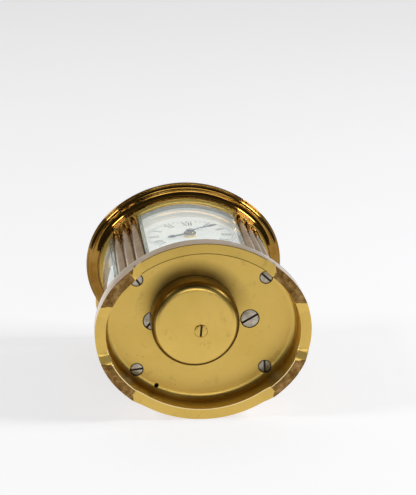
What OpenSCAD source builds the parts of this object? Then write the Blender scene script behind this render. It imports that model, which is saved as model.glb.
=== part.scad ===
// Oval lantern clock: reeded pillars between a base and a cornice, curved glasses, and an
// alarm bell under the base. Millimetres. +Z is up, the dial faces -Y, and the origin is
// centred under the feet.

/* [Case oval] */
// Width of the case over the flange
case_w = 80; // [77:0.5:84]
// Depth of the case over the flange
case_d = 68; // [66:0.5:71]
// Radius of the oval's two end arcs
end_r = 29.5; // [28.5:0.5:31]

/* [Base] */
// Height of the face that the pillars stand on
base_h = 15.5; // [15:0.5:18]
// Height of the plain flange band
flange_h = 8.4; // [7:0.1:9]
// Rounding of the flange's top edge
flange_round = 0.6; // [0.3:0.1:0.7]
// Height of the feet below the rim between them
foot_h = 1.9; // [1.2:0.1:2.5]
// Thickness of the rim round the recess
rim_t = 4; // [3.5:0.1:4.5]
// Depth of the recess under the base
recess_h = 12.3; // [11:0.1:12.6]
// Cove between the recess wall and its floor
recess_cove_r = 2.6; // [1.5:0.1:3]
// Clear gap between the feet at each side
side_gap = 23; // [20:0.5:26]
// Clear gap between the feet at front and back
front_gap = 53; // [48:0.5:56]
// Length of the ramp at each end of a gap
ramp_l = 4; // [2:0.5:5]
// Radius of the small vent hole in the recess floor
vent_r = 0.85; // [0.5:0.05:1.2]
// Place of the vent hole
vent_at = [-16.7, 24];

/* [Moulding] */
// Step inside the outer band
band_step = 0.7; // [0.4:0.1:1]
// Radius of the convex member
ovolo_r = 1.3; // [1:0.1:1.6]
// Width of the two flat fillets
fillet_w = 0.5; // [0.3:0.1:0.8]
// Height of the two flat fillets
fillet_h = 0.3; // [0.2:0.1:0.6]
// Radius of the concave member
cove_r = 2.2; // [1.8:0.1:2.6]
// Height of the neck next to the pillars
neck_h = 0.7; // [0.5:0.1:1.2]

/* [Pillars] */
// Height of the window between base and cornice
window_h = 70; // [68:0.5:76]
// Distance along the oval from the join of its arcs to the middle of each pillar
pillar_shift = 2.8; // [2.7:0.05:3.2]
// Distance along the oval from the join of its arcs to the small screws
screw_shift = 3.3; // [3.1:0.05:3.4]
// Radius of one reed
reed_r = 2.25; // [2:0.05:2.35]
// Distance between reeds
reed_pitch = 4.4; // [4.1:0.05:4.5]
// Depth that the reeds' middles stand in front of the pillar's core
reed_sink = 0.3; // [0.2:0.05:0.45]
// Radius of the necks that stand the reeds on the base
reed_neck_r = 1.9; // [1.8:0.05:2]
// Depth of the pillar behind the middle of its reeds
core_t = 2.3; // [2:0.1:2.6]

/* [Glasses] */
// Setback of the curved glasses behind the neck of the moulding
glass_set = 0.65; // [0.6:0.05:0.75]
// Thickness of the curved glasses
glass_t = 2.2; // [2:0.1:2.4]
// Clearance round each glass
glass_gap = 0.15; // [0.1:0.05:0.25]
// Depth of the grooves that hold the glasses
groove_h = 1.5; // [1:0.1:2]
// Thickness of the top glass
top_glass_t = 2.2; // [2:0.1:2.6]
// Width of the top glass's bevel
bevel_w = 4.5; // [3:0.5:5]
// Drop of the top glass's bevel
bevel_h = 1.2; // [0.6:0.1:1.5]

/* [Cornice] */
// Height of the cornice
cornice_h = 6.5; // [6.3:0.1:7.5]
// Rounding of the cornice's outer band
band_round = 0.4; // [0.2:0.1:0.6]
// Setback of the opening in the cornice
opening_set = 11; // [10.8:0.1:12]
// Width of the seat that carries the top glass
seat_w = 1; // [0.8:0.1:1.1]
// Width by which the opening splays out towards its lower edge
splay_w = 1.8; // [1.2:0.1:2]
// Height of that splay
splay_h = 2; // [1.4:0.1:2.2]
// Thickness of the lip under the top glass
lip_h = 2.8; // [2.4:0.1:3]
// Setback of the bezel's outer edge
bezel_set = 5.4; // [5:0.1:5.6]
// Height of the bezel above the cornice
bezel_h = 1.2; // [0.8:0.1:1.5]

/* [Handle] */
// Setback of the handle's posts from the case's ends
post_set = 3; // [2.8:0.1:3.2]
// Radius of each post
post_r = 2.2; // [1.8:0.1:2.4]
// Height of the handle's pivot above the cornice
pivot_h = 4.8; // [4.6:0.1:6]
// Radius of the eyes round the pivot
eye_r = 2.6; // [2.4:0.1:2.8]
// Thickness of the handle's eyes
eye_t = 2.2; // [1.8:0.1:2.6]
// Radius of the spigots that hold the posts in the cornice
post_pin_r = 1; // [0.8:0.1:1.2]
// Gap between each post and the handle's eye
eye_gap = 0.25; // [0.2:0.05:0.4]
// Radius of the pivot pins
pivot_r = 0.9; // [0.7:0.05:1.1]
// Radius of the handle's rod
rod_r = 1.6; // [1.3:0.1:1.8]
// Radius of the handle's grip
grip_r = 2.1; // [1.8:0.1:2.3]
// Reach of the handle from its pivot
handle_reach = 29; // [26:0.5:30]
// Bend radius at the handle's corners
handle_bend_r = 11; // [8:0.5:13]

/* [Screws] */
// Radius of the small screw heads
small_head_r = 2.3; // [2:0.1:2.4]
// Radius of the small screws' shanks
small_shank_r = 1.2; // [1:0.1:1.3]
// Radius of the large screw heads
large_head_r = 3.4; // [3:0.1:3.5]
// Radius of the large screws' shanks
large_shank_r = 1.8; // [1.5:0.1:2]
// Thickness of the screw heads
head_h = 1.1; // [0.9:0.1:1.3]
// Width of the screw slots
slot_w = 0.8; // [0.6:0.1:1]
// Depth of the screw slots
slot_h = 0.6; // [0.4:0.1:0.7]
// Depth of the screw heads below the faces that they are sunk in
head_sink = 0.1; // [0.05:0.05:0.2]
// Clearance round a screw head
head_gap = 0.25; // [0.15:0.05:0.3]
// Clearance round a screw's shank
shank_gap = 0.05; // [0.03:0.01:0.08]
// Length of the pillar screws in the pillars
pillar_screw_l = 6; // [4:0.5:8]
// Length of the cornice screws in the pillars
cornice_screw_l = 6; // [4:0.5:8]
// Length of the movement screws in their posts
movement_screw_l = 2.8; // [2:0.1:3]
// Radius of the plates' screw heads
plate_head_r = 1.9; // [1.5:0.1:2]
// Radius of the plates' screws
plate_shank_r = 1; // [0.8:0.05:1]
// Distance of the two large screws from the middle
large_x = 18.2; // [17.6:0.1:18.8]

/* [Bell] */
// Outer radius of the bell
bell_r = 16.4; // [15.6:0.1:16.8]
// Thickness of the bell's wall
bell_t = 1.3; // [1:0.1:1.5]
// Height of the bell's face above the surface that the clock stands on
bell_z = 2.3; // [1.5:0.1:3]
// Gap between the bell's mouth and the recess floor
bell_gap = 0.7; // [0.4:0.1:1]
// Rounding of the bell's edge
bell_round = 3.2; // [2.6:0.1:3.4]
// Centre of the bell
bell_at = [-2.8, -2.5];
// Place of the screw that holds the bell
stud_at = [-1, -0.5];
// Radius of the bell's stud
stud_r = 2; // [1.6:0.1:2.4]
// Length of the slot through the base for the hammer's arm
hammer_slot_l = 9.2; // [8:0.2:9.6]
// Width of that slot
hammer_slot_w = 4.8; // [4.4:0.1:5.2]
// Room in that slot beside the hammer's arm
hammer_play = 2.6; // [2:0.1:3]

/* [Dial] */
// Distance of the dial's face in front of the middle
dial_set = 17.8; // [17.6:0.1:18.4]
// Width of the dial plate
dial_w = 34.6; // [32:0.2:35]
// Thickness of the dial plate
dial_t = 0.8; // [0.6:0.1:1]
// Height of the hands' centre above the base
hub_h = 43.5; // [43:0.5:45]
// Height of the alarm hand's centre above the base
alarm_h = 18.5; // [18.3:0.1:18.7]
// Height of the dial plate
dial_h = 64.5; // [62:0.5:66]
// Length of the minute hand
minute_l = 12.5; // [11.5:0.5:14]
// Length of the hour hand
hour_l = 9.5; // [8:0.5:10]
// Length of the alarm hand
alarm_l = 5; // [4:0.5:6]
// Thickness of the hands
hand_t = 0.4; // [0.3:0.05:0.5]
// Minutes that the hands show
shown_min = 9; // [0:1:59]
// Hours that the hands show
shown_hour = 8; // [0:1:11]

/* [Movement] */
// Width of the movement's plates
plate_w = 44; // [43.4:0.2:44.4]
// Height of the movement's plates
plate_h = 61; // [60.5:0.5:62]
// Thickness of the movement's plates
plate_t = 1.6; // [1.4:0.1:1.8]
// Space between the movement's plates
plate_space = 17; // [17:0.1:17.4]
// Setback of the movement's middle from the case's middle
movement_y = -1.5; // [-1.6:0.1:-1.4]
// Radius of the movement's posts
post_bar_r = 2.2; // [2:0.1:2.4]
// Module of the barrel's teeth
barrel_m = 0.36; // [0.355:0.001:0.365]
// Module of the train's teeth
train_m = 0.3; // [0.295:0.001:0.305]
// Module of the motion work's teeth
motion_m = 0.35; // [0.345:0.001:0.355]
// Radius of the thin arbors
arbor_r = 0.6; // [0.5:0.05:0.7]
// Running clearance of an arbor in its hole
run_gap = 0.06; // [0.04:0.01:0.09]
// Clearance of a piece that is pushed onto an arbor
push_gap = 0.02; // [0.01:0.01:0.04]
// Radius of the thick arbors that carry the barrels and the hands
winding_r = 1.3; // [1.2:0.05:1.4]
// Radius of the escapement's arbors
staff_r = 0.4; // [0.3:0.05:0.5]
// Radius of the ratchet wheels
ratchet_r = 4.6; // [4:0.1:5]
// Thickness of the ratchet wheels and clicks
ratchet_t = 0.9; // [0.7:0.1:1.1]
// Radius of the going key's wings
going_key_r = 8; // [7:0.5:9]
// Radius of the alarm key's wings
alarm_key_r = 7; // [6:0.5:8]
// Radius of the setting knob
setting_knob_r = 3.6; // [3:0.1:4]
// Radius of the alarm knob
alarm_knob_r = 2.7; // [2.4:0.1:3]
// Radius of the alarm's barrel
alarm_barrel_r = 10; // [9:0.5:10.5]
// Radius of the balance wheel
balance_r = 6; // [5:0.1:6.2]
// Radius of the escape wheel
escape_r = 3; // [2.6:0.1:3.2]

/* [Rear door] */
// Thickness of the rear door's frame
door_t = 3; // [2.8:0.1:3.1]
// Width of the rear door's stiles
stile_w = 3.6; // [3:0.2:4]
// Thickness of the rear door's glass
door_glass_t = 1.6; // [1.4:0.1:1.7]
// Depth of the groove that holds the rear door's glass
rebate = 1; // [0.8:0.1:1.2]
// Gap above, below and beside the rear door
door_gap = 0.3; // [0.25:0.05:0.4]
// Radius of the hinge post at the door's edge
hinge_post_r = 1.5; // [1.4:0.1:1.6]
// Radius of the door's pivots
hinge_pin_r = 0.6; // [0.5:0.05:0.7]
// Length of the door's pivots beyond its frame
hinge_pin_l = 1.4; // [1:0.1:1.8]
// Radius of the door's knob
door_knob_r = 2; // [1.6:0.1:2.4]

/* [Hidden] */
$fn = 96;
// Reach of a profile that is swept solid: it ends past the oval's arc centres
depth = 200;

// Four-arc oval: end arcs about (+-end_c, 0) and flat arcs about (0, +-flat_c)
half_w = case_w / 2;
half_d = case_d / 2;
end_c = half_w - end_r;
flat_r = (end_c * end_c / (half_d - end_r) + end_r + half_d) / 2;
flat_c = flat_r - half_d;
join_a = atan2(flat_c, end_c);

// Radial setbacks from the flange's edge
reed_set = band_step + ovolo_r + 2 * fillet_w + cove_r;
reed_d = reed_set + reed_r;
core_d = reed_d + reed_sink;
glass_d = reed_set + glass_set;
glass_in = glass_d + glass_t;
inner_d = reed_d + core_t;
recess_d = rim_t + recess_cove_r;
seat_d = opening_set - seat_w;
door_d = reed_set + 1;
hinge_d = door_d + hinge_post_r / 2;

// Heights
member_h = ovolo_r + 2 * fillet_h + cove_r + neck_h;
ledge_z = base_h + window_h;
top_z = ledge_z + cornice_h;
seat_z = ledge_z + lip_h;
hub_z = base_h + hub_h;
alarm_z = base_h + alarm_h;
plate_z = base_h + 0.7;
plate_top = plate_z + plate_h;
dial_z = base_h + 1.2;

// Levels along Y
front_in = movement_y - plate_space / 2;
front_out = front_in - plate_t;
back_in = movement_y + plate_space / 2;
back_out = back_in + plate_t;
dial_y = -dial_set;
dial_back = dial_y + dial_t;

// Arc length from the oval's widest point to the join of its arcs, and the direction at one
join_s = (end_r - reed_d) * join_a * PI / 180;
function path_a(s) = s < join_s ? s / (end_r - reed_d) * 180 / PI
    : join_a + (s - join_s) / (flat_r - reed_d) * 180 / PI;
function path_pt(a, d) = a < join_a
    ? [end_c + (end_r - d) * cos(a), (end_r - d) * sin(a)]
    : [(flat_r - d) * cos(a), (flat_r - d) * sin(a) - flat_c];

pillar_s = join_s + pillar_shift;
pillar_half = 1.5 * reed_pitch;
pillar_a0 = path_a(pillar_s - pillar_half);
pillar_a1 = path_a(pillar_s + pillar_half);
screw_at = path_pt(path_a(join_s + screw_shift), reed_d);
side_half_a = pillar_a0 - glass_gap / (end_r - reed_d) * 180 / PI;
front_half_a = 90 - pillar_a1 - glass_gap / (flat_r - reed_d) * 180 / PI;
quarters = [[1, 1], [-1, 1], [1, -1], [-1, -1]];

// Gear counts and places in the movement, as [x, z]
barrel_teeth = 72;
centre_leaves = 12;
centre_teeth = 64;
third_leaves = 8;
third_teeth = 60;
fourth_leaves = 8;
cannon_leaves = 12;
minute_teeth = 36;
minute_leaves = 10;
hour_teeth = 40;
escape_teeth = 15;
contrate_teeth = 48;
function polar(r, a) = [r * cos(a), r * sin(a)];
mesh_gap = 0.05;
hub = [0, hub_z];
barrel_a = 235;
barrel_at = hub + polar((barrel_teeth + centre_leaves) * barrel_m / 2 + mesh_gap, barrel_a);
third_a = 50;
third_at = hub + polar((centre_teeth + third_leaves) * train_m / 2 + mesh_gap, third_a);
fourth_a = 164;
fourth_at = third_at + polar((third_teeth + fourth_leaves) * train_m / 2 + mesh_gap, fourth_a);
motion_a = -45;
motion_dist = (cannon_leaves + minute_teeth) * motion_m / 2 + mesh_gap;
minute_at = hub + polar(motion_dist, motion_a);
hour_m = 2 * (motion_dist - mesh_gap) / (minute_leaves + hour_teeth);
alarm_barrel_at = [11, base_h + 16];
barrel_r = barrel_teeth * barrel_m / 2 - 0.9;
barrel_wall = 0.8;
barrel_front = front_in + 0.7;
barrel_len = 7;
teeth_t = 1.4;

// Levels of the wheels along Y
barrel_teeth_y = barrel_front + barrel_len - teeth_t;
centre_wheel_y = back_in - 3;
third_wheel_y = back_in - 6.6;
contrate_y = front_in + 3.4;
wheel_t = 1;

// Platform escapement on top of the plates
platform_t = 1;
platform_w = 30;
platform_top = plate_top + platform_t;
escape_at = [fourth_at[0], contrate_y + 3];
balance_at = [7, 1];
lever_at = [escape_at[0] + 0.47 * (balance_at[0] - escape_at[0]),
    escape_at[1] + 0.47 * (balance_at[1] - escape_at[1])];
balance_z = platform_top + 3.4;
cock_z = balance_z + 2.2;
cock_t = 1.1;

// Keys, knobs, ratchets and clicks behind the back plate
key_y = back_out + 4.2;
key_square = 1.6;
ratchet_y = back_out + 0.4;
click_pin_r = 0.6;
click_set = ratchet_r + 2.2;
going_click_a = 100;
alarm_click_a = 80;

// Hands and the pipes that carry them
minute_y = dial_y - 2.2;
hour_y = dial_y - 1.2;
alarm_y = dial_y - 0.9;
pipe_r = 1.1;
minute_bore_r = pipe_r - 0.3;
hour_pipe_r = 1.8;

// Posts between the plates, as [x, z]
upper_posts = [[-plate_w / 2 + 4, plate_top - 4], [plate_w / 2 - 4, plate_top - 4]];
lower_posts = [[-large_x, base_h + 3], [large_x, base_h + 3]];
post_block = 5.6;

// Hinge of the rear door, as a direction on the rear flat arc and as a point
hinge_a = 90 - front_half_a + (hinge_post_r + glass_gap) / (flat_r - hinge_d) * 180 / PI;
hinge_at = path_pt(hinge_a, hinge_d);
catch_a = 180 - (90 - front_half_a) - glass_gap / (flat_r - hinge_d) * 180 / PI;

// Hammer that strikes inside the bell
hammer_at = [8.6, base_h + 3];
hammer_y = movement_y;
hammer_head_z = bell_z + 4.6;

// The parts: the case, its fittings, the bell, the door, the dial and the movement

// A ring sector about a centre, between two radii and two directions
module arc_slab(centre, r0, r1, z0, h, a0, a1) {
    translate([centre[0], centre[1], z0]) rotate([0, 0, a0])
        rotate_extrude(angle = a1 - a0) translate([r0, 0]) square([r1 - r0, h]);
}

// Sweeps a profile round the oval; its X is the distance outward from the flange's edge.
// Each arc is a whole turned solid, kept inside the wedge that its arc covers.
module oval_sweep() {
    far = [11 * end_c, 10 * flat_c];
    for (s = [-1, 1]) {
        turned_wedge([s * end_c, 0], end_r, [[s * end_c, 0], [s * far[0], -s * far[1]],
            [s * far[0], s * far[1]]]) children();
        turned_wedge([0, -s * flat_c], flat_r, [[0, -s * flat_c], [s * far[0], s * far[1]],
            [-s * far[0], s * far[1]]]) children();
    }
}

// A profile at radius r turned about a centre, inside a triangle
module turned_wedge(centre, r, corners) {
    intersection() {
        translate([centre[0], centre[1], 0]) rotate_extrude() intersection() {
            translate([r, 0]) children();
            translate([0, -depth]) square([depth, 2 * depth]);
        }
        translate([0, 0, -depth]) linear_extrude(height = 2 * depth) polygon(corners);
    }
}

// A solid oval plate set back by d, from z0 up by h
module oval_plate(d, z0, h) {
    oval_sweep() translate([-depth, z0]) square([depth - d, h]);
}

// Moulding members above the outer band: an ovolo, a fillet, a cove, a fillet and a neck.
// The cove's centre lies a little outside its corner, so that its ends meet the fillets at
// an angle.
module members() {
    z2 = ovolo_r + fillet_h;
    z3 = z2 + cove_r;
    u1 = band_step + ovolo_r;
    u2 = u1 + fillet_w;
    shift = cove_r * 0.15;
    arc_r = norm([shift, cove_r + shift]) + 0.03;
    translate([-u1, 0]) circle(r = ovolo_r, $fn = 48);
    translate([-depth, 0]) square([depth - u1, z2]);
    difference() {
        translate([-depth, 0]) square([depth - u2, z3]);
        translate([shift - u2, z3 + shift]) circle(r = arc_r, $fn = 64);
    }
    translate([-depth, 0]) square([depth - u2 - cove_r, z3 + fillet_h]);
    translate([-depth, 0]) square([depth - reed_set, member_h]);
}

// The plain outer band, rounded by r_low at its lower edge and by r_top at its upper edge
module band(h, r_low, r_top) {
    translate([-depth, 0]) square([depth - max(r_low, r_top), h]);
    translate([-depth, r_low]) square([depth, h - r_low - r_top]);
    if (r_low > 0) translate([-r_low, r_low]) circle(r = r_low, $fn = 32);
    if (r_top > 0) translate([-r_top, h - r_top]) circle(r = r_top, $fn = 32);
}

// A slotted cheese-head screw, head down at z0 and shank up, with its slot turned by a
module screw_up(at, z0, head_r, shank_r, shank_l, a) {
    translate([at[0], at[1], z0]) rotate([0, 0, a]) difference() {
        union() {
            cylinder(r = head_r, h = head_h);
            cylinder(r = shank_r, h = head_h + shank_l);
        }
        translate([-head_r - 1, -slot_w / 2, -1]) cube([2 * head_r + 2, slot_w, slot_h + 1]);
    }
}

// The hole that such a screw needs in what it clamps
module screw_room(at, z0, head_r, shank_r, deep) {
    translate([at[0], at[1], z0 - 1])
        cylinder(r = head_r + head_gap, h = head_h + head_sink + 1);
    translate([at[0], at[1], z0 - 1]) cylinder(r = shank_r + shank_gap, h = deep + 1);
}

// A round rod along Y from y0 to y1 at [x, z]
module rod_y(at, y0, y1, r) {
    translate([at[0], y1, at[1]]) rotate([90, 0, 0]) cylinder(r = r, h = y1 - y0);
}

function click_at(at, a) = at + polar(click_set, a);

// Outline of a gear with n teeth of module m
module gear_outline(n, m) {
    tip = m * (n / 2 + 0.9);
    root = m * (n / 2 - 1.15);
    step = 360 / n;
    polygon([for (i = [0 : n - 1], k = [[root, -0.27], [tip, -0.09], [tip, 0.09], [root, 0.27]])
        [k[0] * cos((i + k[1]) * step), k[0] * sin((i + k[1]) * step)]]);
}

// A gear along Y, from y0 by h, with one tooth pointing in direction a
module gear_y(at, y0, h, n, m, a, bore = 0) {
    translate([at[0], y0 + h, at[1]]) rotate([90, 0, 0]) difference() {
        rotate([0, 0, a]) linear_extrude(height = h) gear_outline(n, m);
        if (bore > 0) translate([0, 0, -1]) cylinder(r = bore, h = h + 2);
    }
}

// A crossed-out wheel along Y: a toothed rim, five spokes and a hub
module wheel_y(at, y0, n, m, a, bore) {
    rim_r = m * (n / 2 - 1.15) - 1;
    hub_r = 1.8;
    translate([at[0], y0 + wheel_t, at[1]]) rotate([90, 0, 0]) {
        difference() {
            rotate([0, 0, a]) linear_extrude(height = wheel_t) gear_outline(n, m);
            translate([0, 0, -1]) cylinder(r = rim_r, h = wheel_t + 2);
        }
        difference() {
            union() {
                cylinder(r = hub_r, h = wheel_t);
                for (i = [0 : 4]) rotate([0, 0, 72 * i])
                    translate([0, -0.5, 0]) cube([rim_r + 0.2, 1, wheel_t]);
            }
            translate([0, 0, -1]) cylinder(r = bore, h = wheel_t + 2);
        }
    }
}

module base() {
    color("darkgoldenrod") difference() {
        union() {
            oval_sweep() {
                band(flange_h, 0, flange_round);
                translate([0, flange_h]) members();
            }
            oval_plate(reed_set, 1, base_h - 1);
        }
        recess();
        foot_gaps();
        for (q = quarters) screw_room([q[0] * screw_at[0], q[1] * screw_at[1]],
            recess_h, small_head_r, small_shank_r, 10);
        for (s = [-1, 1]) screw_room([s * large_x, movement_y], recess_h, large_head_r,
            large_shank_r, 10);
        translate([vent_at[0], vent_at[1], recess_h - 4]) cylinder(r = vent_r, h = 6);
        stud_hole();
        hammer_slot();
        glass_grooves(base_h - groove_h, groove_h + 1);
        hinge_holes(base_h - hinge_pin_l - door_gap, hinge_pin_l + 1);
    }
}

// The hollow under the base, with a cove round its floor
module recess() {
    oval_sweep() {
        translate([-depth, -1]) square([depth - rim_t, 1 + recess_h - recess_cove_r]);
        translate([-depth, -1]) square([depth - recess_d, 1 + recess_h]);
        translate([-recess_d, recess_h - recess_cove_r]) circle(r = recess_cove_r, $fn = 48);
    }
}

// Ramped gaps that leave four feet on the rim
module foot_gaps() {
    for (g = [[side_gap, 90, half_w], [front_gap, 0, half_d]])
        rotate([0, 0, g[1]]) translate([0, g[2] + 1, 0]) rotate([90, 0, 0])
            linear_extrude(height = 2 * g[2] + 2)
                polygon([[-g[0] / 2 - ramp_l / foot_h, -1], [-g[0] / 2, 0],
                    [ramp_l - g[0] / 2, foot_h], [g[0] / 2 - ramp_l, foot_h],
                    [g[0] / 2, 0], [g[0] / 2 + ramp_l / foot_h, -1]]);
}

module stud_hole() {
    translate([stud_at[0], stud_at[1], recess_h - 1]) cylinder(r = small_shank_r + shank_gap, h = 10);
}

// Slot through the base for the hammer's arm
module hammer_slot() {
    translate([hammer_at[0] + hammer_play - hammer_slot_l, hammer_y - hammer_slot_w / 2,
        recess_h - 1]) cube([hammer_slot_l, hammer_slot_w, 10]);
}

// Grooves for the three fixed glasses, clear of them all round
module glass_grooves(z0, h) {
    d0 = glass_d - glass_gap;
    d1 = glass_in + glass_gap;
    arc_slab([0, flat_c], flat_r - d1, flat_r - d0, z0, h, 270 - front_half_a, 270 + front_half_a);
    for (s = [0, 1]) rotate([0, 0, 180 * s])
        arc_slab([end_c, 0], end_r - d1, end_r - d0, z0, h, -side_half_a, side_half_a);
}

module hinge_holes(z0, h) {
    translate([hinge_at[0], hinge_at[1], z0]) cylinder(r = hinge_pin_r + run_gap, h = h);
}

// One reeded pillar in the quarter given by the signs q
module pillar(q) {
    color("peru") mirror([q[0] < 0 ? 1 : 0, 0, 0]) mirror([0, q[1] < 0 ? 1 : 0, 0])
        difference() {
            union() {
                arc_slab([end_c, 0], end_r - inner_d, end_r - core_d, base_h, window_h,
                    pillar_a0, join_a);
                arc_slab([0, -flat_c], flat_r - inner_d, flat_r - core_d, base_h, window_h,
                    join_a, pillar_a1);
                for (k = [-1 : 1]) reed(path_pt(path_a(pillar_s + k * reed_pitch), reed_d));
            }
            translate([screw_at[0], screw_at[1], base_h - 1])
                cylinder(r = small_shank_r + shank_gap, h = window_h + 2);
        }
}

// A reed with round ends, on a neck that reaches from the base to the cornice
module reed(at) {
    round_z = reed_r + 0.15;
    translate([at[0], at[1], base_h]) rotate_extrude() intersection() {
        union() {
            translate([0, round_z]) circle(r = reed_r);
            translate([0, window_h - round_z]) circle(r = reed_r);
            translate([0, round_z]) square([reed_r, window_h - 2 * round_z]);
            square([reed_neck_r, window_h]);
        }
        square([reed_r + 1, window_h]);
    }
}

module cornice() {
    color("peru") difference() {
        oval_sweep() {
            translate([0, top_z]) mirror([0, 1])
                band(cornice_h - member_h, band_round, band_round);
            translate([0, ledge_z + member_h]) mirror([0, 1]) members();
        }
        oval_plate(opening_set, ledge_z - 1, cornice_h + 2);
        oval_sweep() translate([-opening_set, ledge_z]) polygon([[-1, -1], [splay_w, -1],
            [splay_w, 0], [0, splay_h], [-1, splay_h]]);
        oval_plate(seat_d, seat_z, cornice_h);
        glass_grooves(ledge_z - 1, groove_h + 1);
        hinge_holes(ledge_z - 1, 1 + hinge_pin_l);
        for (q = quarters) translate([q[0] * screw_at[0], q[1] * screw_at[1], 0]) {
            translate([0, 0, ledge_z - 1]) cylinder(r = small_shank_r + shank_gap, h = 20);
            translate([0, 0, top_z - head_h - head_sink])
                cylinder(r = small_head_r + head_gap, h = 2);
        }
        for (s = [-1, 1]) translate([s * (half_w - post_set), 0, top_z - 2])
            cylinder(r = post_pin_r + shank_gap, h = 3);
    }
}

module front_glass() {
    color("lightcyan", 0.4) arc_slab([0, flat_c], flat_r - glass_in, flat_r - glass_d,
        base_h - groove_h + glass_gap, window_h + 2 * groove_h - 2 * glass_gap,
        270 - front_half_a + 0.3, 270 + front_half_a - 0.3);
}

module side_glass() {
    color("lightcyan", 0.4) arc_slab([end_c, 0], end_r - glass_in, end_r - glass_d,
        base_h - groove_h + glass_gap, window_h + 2 * groove_h - 2 * glass_gap,
        -side_half_a + 0.3, side_half_a - 0.3);
}

module top_glass() {
    color("lightcyan", 0.4) oval_sweep() translate([-seat_d - glass_gap, seat_z])
        polygon([[-depth, 0], [0, 0], [0, top_glass_t - bevel_h], [-bevel_w, top_glass_t],
            [-depth, top_glass_t]]);
}

// Ring on the cornice, with a skirt that holds the top glass down on its seat
module top_bezel() {
    skirt_d = seat_d + glass_gap;
    skirt_z = seat_z + top_glass_t - bevel_h * (1 - (opening_set - skirt_d) / bevel_w) + 0.1;
    color("goldenrod") difference() {
        union() {
            oval_plate(bezel_set, top_z, bezel_h);
            oval_plate(skirt_d, skirt_z, top_z - skirt_z + bezel_h / 2);
        }
        oval_plate(opening_set, seat_z, cornice_h + bezel_h);
    }
}

module handle_posts() {
    color("goldenrod") for (s = [-1, 1]) translate([s * (half_w - post_set), 0, top_z])
        difference() {
            union() {
                cylinder(r = post_r, h = 1);
                cylinder(r = (eye_t + eye_gap) / 2, h = pivot_h - eye_r + 0.5);
                translate([-eye_t / 2, 0, pivot_h]) rotate([0, 90, 0])
                    cylinder(r = eye_r, h = eye_t);
                translate([0, 0, -2]) cylinder(r = post_pin_r, h = 3);
            }
            translate([-10, 0, pivot_h]) rotate([0, 90, 0])
                cylinder(r = pivot_r + push_gap, h = 20);
        }
}

// Shouldered pins through the posts and the handle's eyes, with a round head outside
module handle_pivots() {
    x0 = half_w - post_set - eye_t * 1.5 - eye_gap;
    color("goldenrod") for (s = [-1, 1]) translate([0, 0, top_z + pivot_h])
        rotate([0, 90, s < 0 ? 180 : 0]) {
            translate([0, 0, x0]) cylinder(r = pivot_r, h = 2 * eye_t + eye_gap + 0.1);
            translate([0, 0, half_w - post_set + eye_t / 2]) cylinder(r = pivot_r * 1.7, h = 0.8);
        }
}

// The folding handle, drawn upright and laid back over the top
module handle() {
    x = half_w - post_set - eye_t - eye_gap;
    leg = handle_reach - handle_bend_r;
    bar_x = x - handle_bend_r;
    neck_r = rod_r * 0.68;
    collar_h = 5;
    color("goldenrod") translate([0, 0, top_z + pivot_h]) rotate([-90, 0, 0])
        difference() {
            union() {
                for (s = [-1, 1]) {
                    translate([s * x - eye_t / 2, 0, 0]) rotate([0, 90, 0])
                        cylinder(r = eye_r - 0.2, h = eye_t);
                    translate([s * x, 0, eye_r - 0.8])
                        cylinder(r = neck_r, h = leg - eye_r + 0.8);
                    translate([s * x, 0, leg - collar_h]) cylinder(r = rod_r, h = collar_h);
                    translate([s * bar_x, 0, leg]) rotate([90, 0, 0])
                        rotate([0, 0, s > 0 ? 0 : 90]) rotate_extrude(angle = 90)
                            translate([handle_bend_r, 0]) circle(r = rod_r);
                }
                translate([-bar_x, 0, handle_reach]) rotate([0, 90, 0])
                    cylinder(r = rod_r, h = 2 * bar_x);
                translate([2 - bar_x, 0, handle_reach]) rotate([0, 90, 0])
                    cylinder(r = grip_r, h = 2 * bar_x - 4);
            }
            translate([-100, 0, 0]) rotate([0, 90, 0]) cylinder(r = pivot_r + run_gap, h = 200);
        }
}

module pillar_screws() {
    color("silver") for (i = [0 : 3]) {
        q = quarters[i];
        screw_up([q[0] * screw_at[0], q[1] * screw_at[1]], recess_h + head_sink,
            small_head_r, small_shank_r, base_h - recess_h - head_h + pillar_screw_l,
            [88, -8, 42, 55][i]);
    }
}

module cornice_screws() {
    color("silver") for (q = quarters)
        translate([q[0] * screw_at[0], q[1] * screw_at[1], top_z - head_sink]) mirror([0, 0, 1])
            screw_up([0, 0], 0, small_head_r, small_shank_r,
                cornice_h - head_h + cornice_screw_l, 0);
}

module movement_screws() {
    color("silver") for (s = [-1, 1]) screw_up([s * large_x, movement_y], recess_h + head_sink,
        large_head_r, large_shank_r, base_h - recess_h - head_h + movement_screw_l,
        s > 0 ? -30 : -50);
}

module bell() {
    bell_h = recess_h - bell_gap - bell_z;
    color("darkgoldenrod") difference() {
        translate([bell_at[0], bell_at[1], bell_z]) rotate_extrude() difference() {
            bell_outline(bell_r, bell_h, bell_round);
            translate([0, bell_t]) bell_outline(bell_r - bell_t, bell_h, bell_round - bell_t);
        }
        translate([stud_at[0], stud_at[1], bell_z - 1]) cylinder(r = small_shank_r, h = 5);
        translate([stud_at[0], stud_at[1], bell_z - 1])
            cylinder(r = small_head_r + head_gap, h = 1.5);
    }
}

// Half outline of a cup with a rounded lower corner
module bell_outline(r, h, round_r) {
    square([r - round_r, h]);
    translate([0, round_r]) square([r, h - round_r]);
    intersection() {
        translate([r - round_r, round_r]) circle(r = round_r, $fn = 48);
        square([r + 1, h]);
    }
}

module bell_stud() {
    stud_z = bell_z + bell_t;
    color("silver") difference() {
        union() {
            translate([stud_at[0], stud_at[1], stud_z]) cylinder(r = stud_r, h = recess_h - stud_z);
            translate([stud_at[0], stud_at[1], recess_h - 1])
                cylinder(r = small_shank_r, h = base_h - recess_h + 1);
        }
        translate([stud_at[0], stud_at[1], stud_z - 1]) cylinder(r = small_shank_r, h = 5);
    }
}

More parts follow.
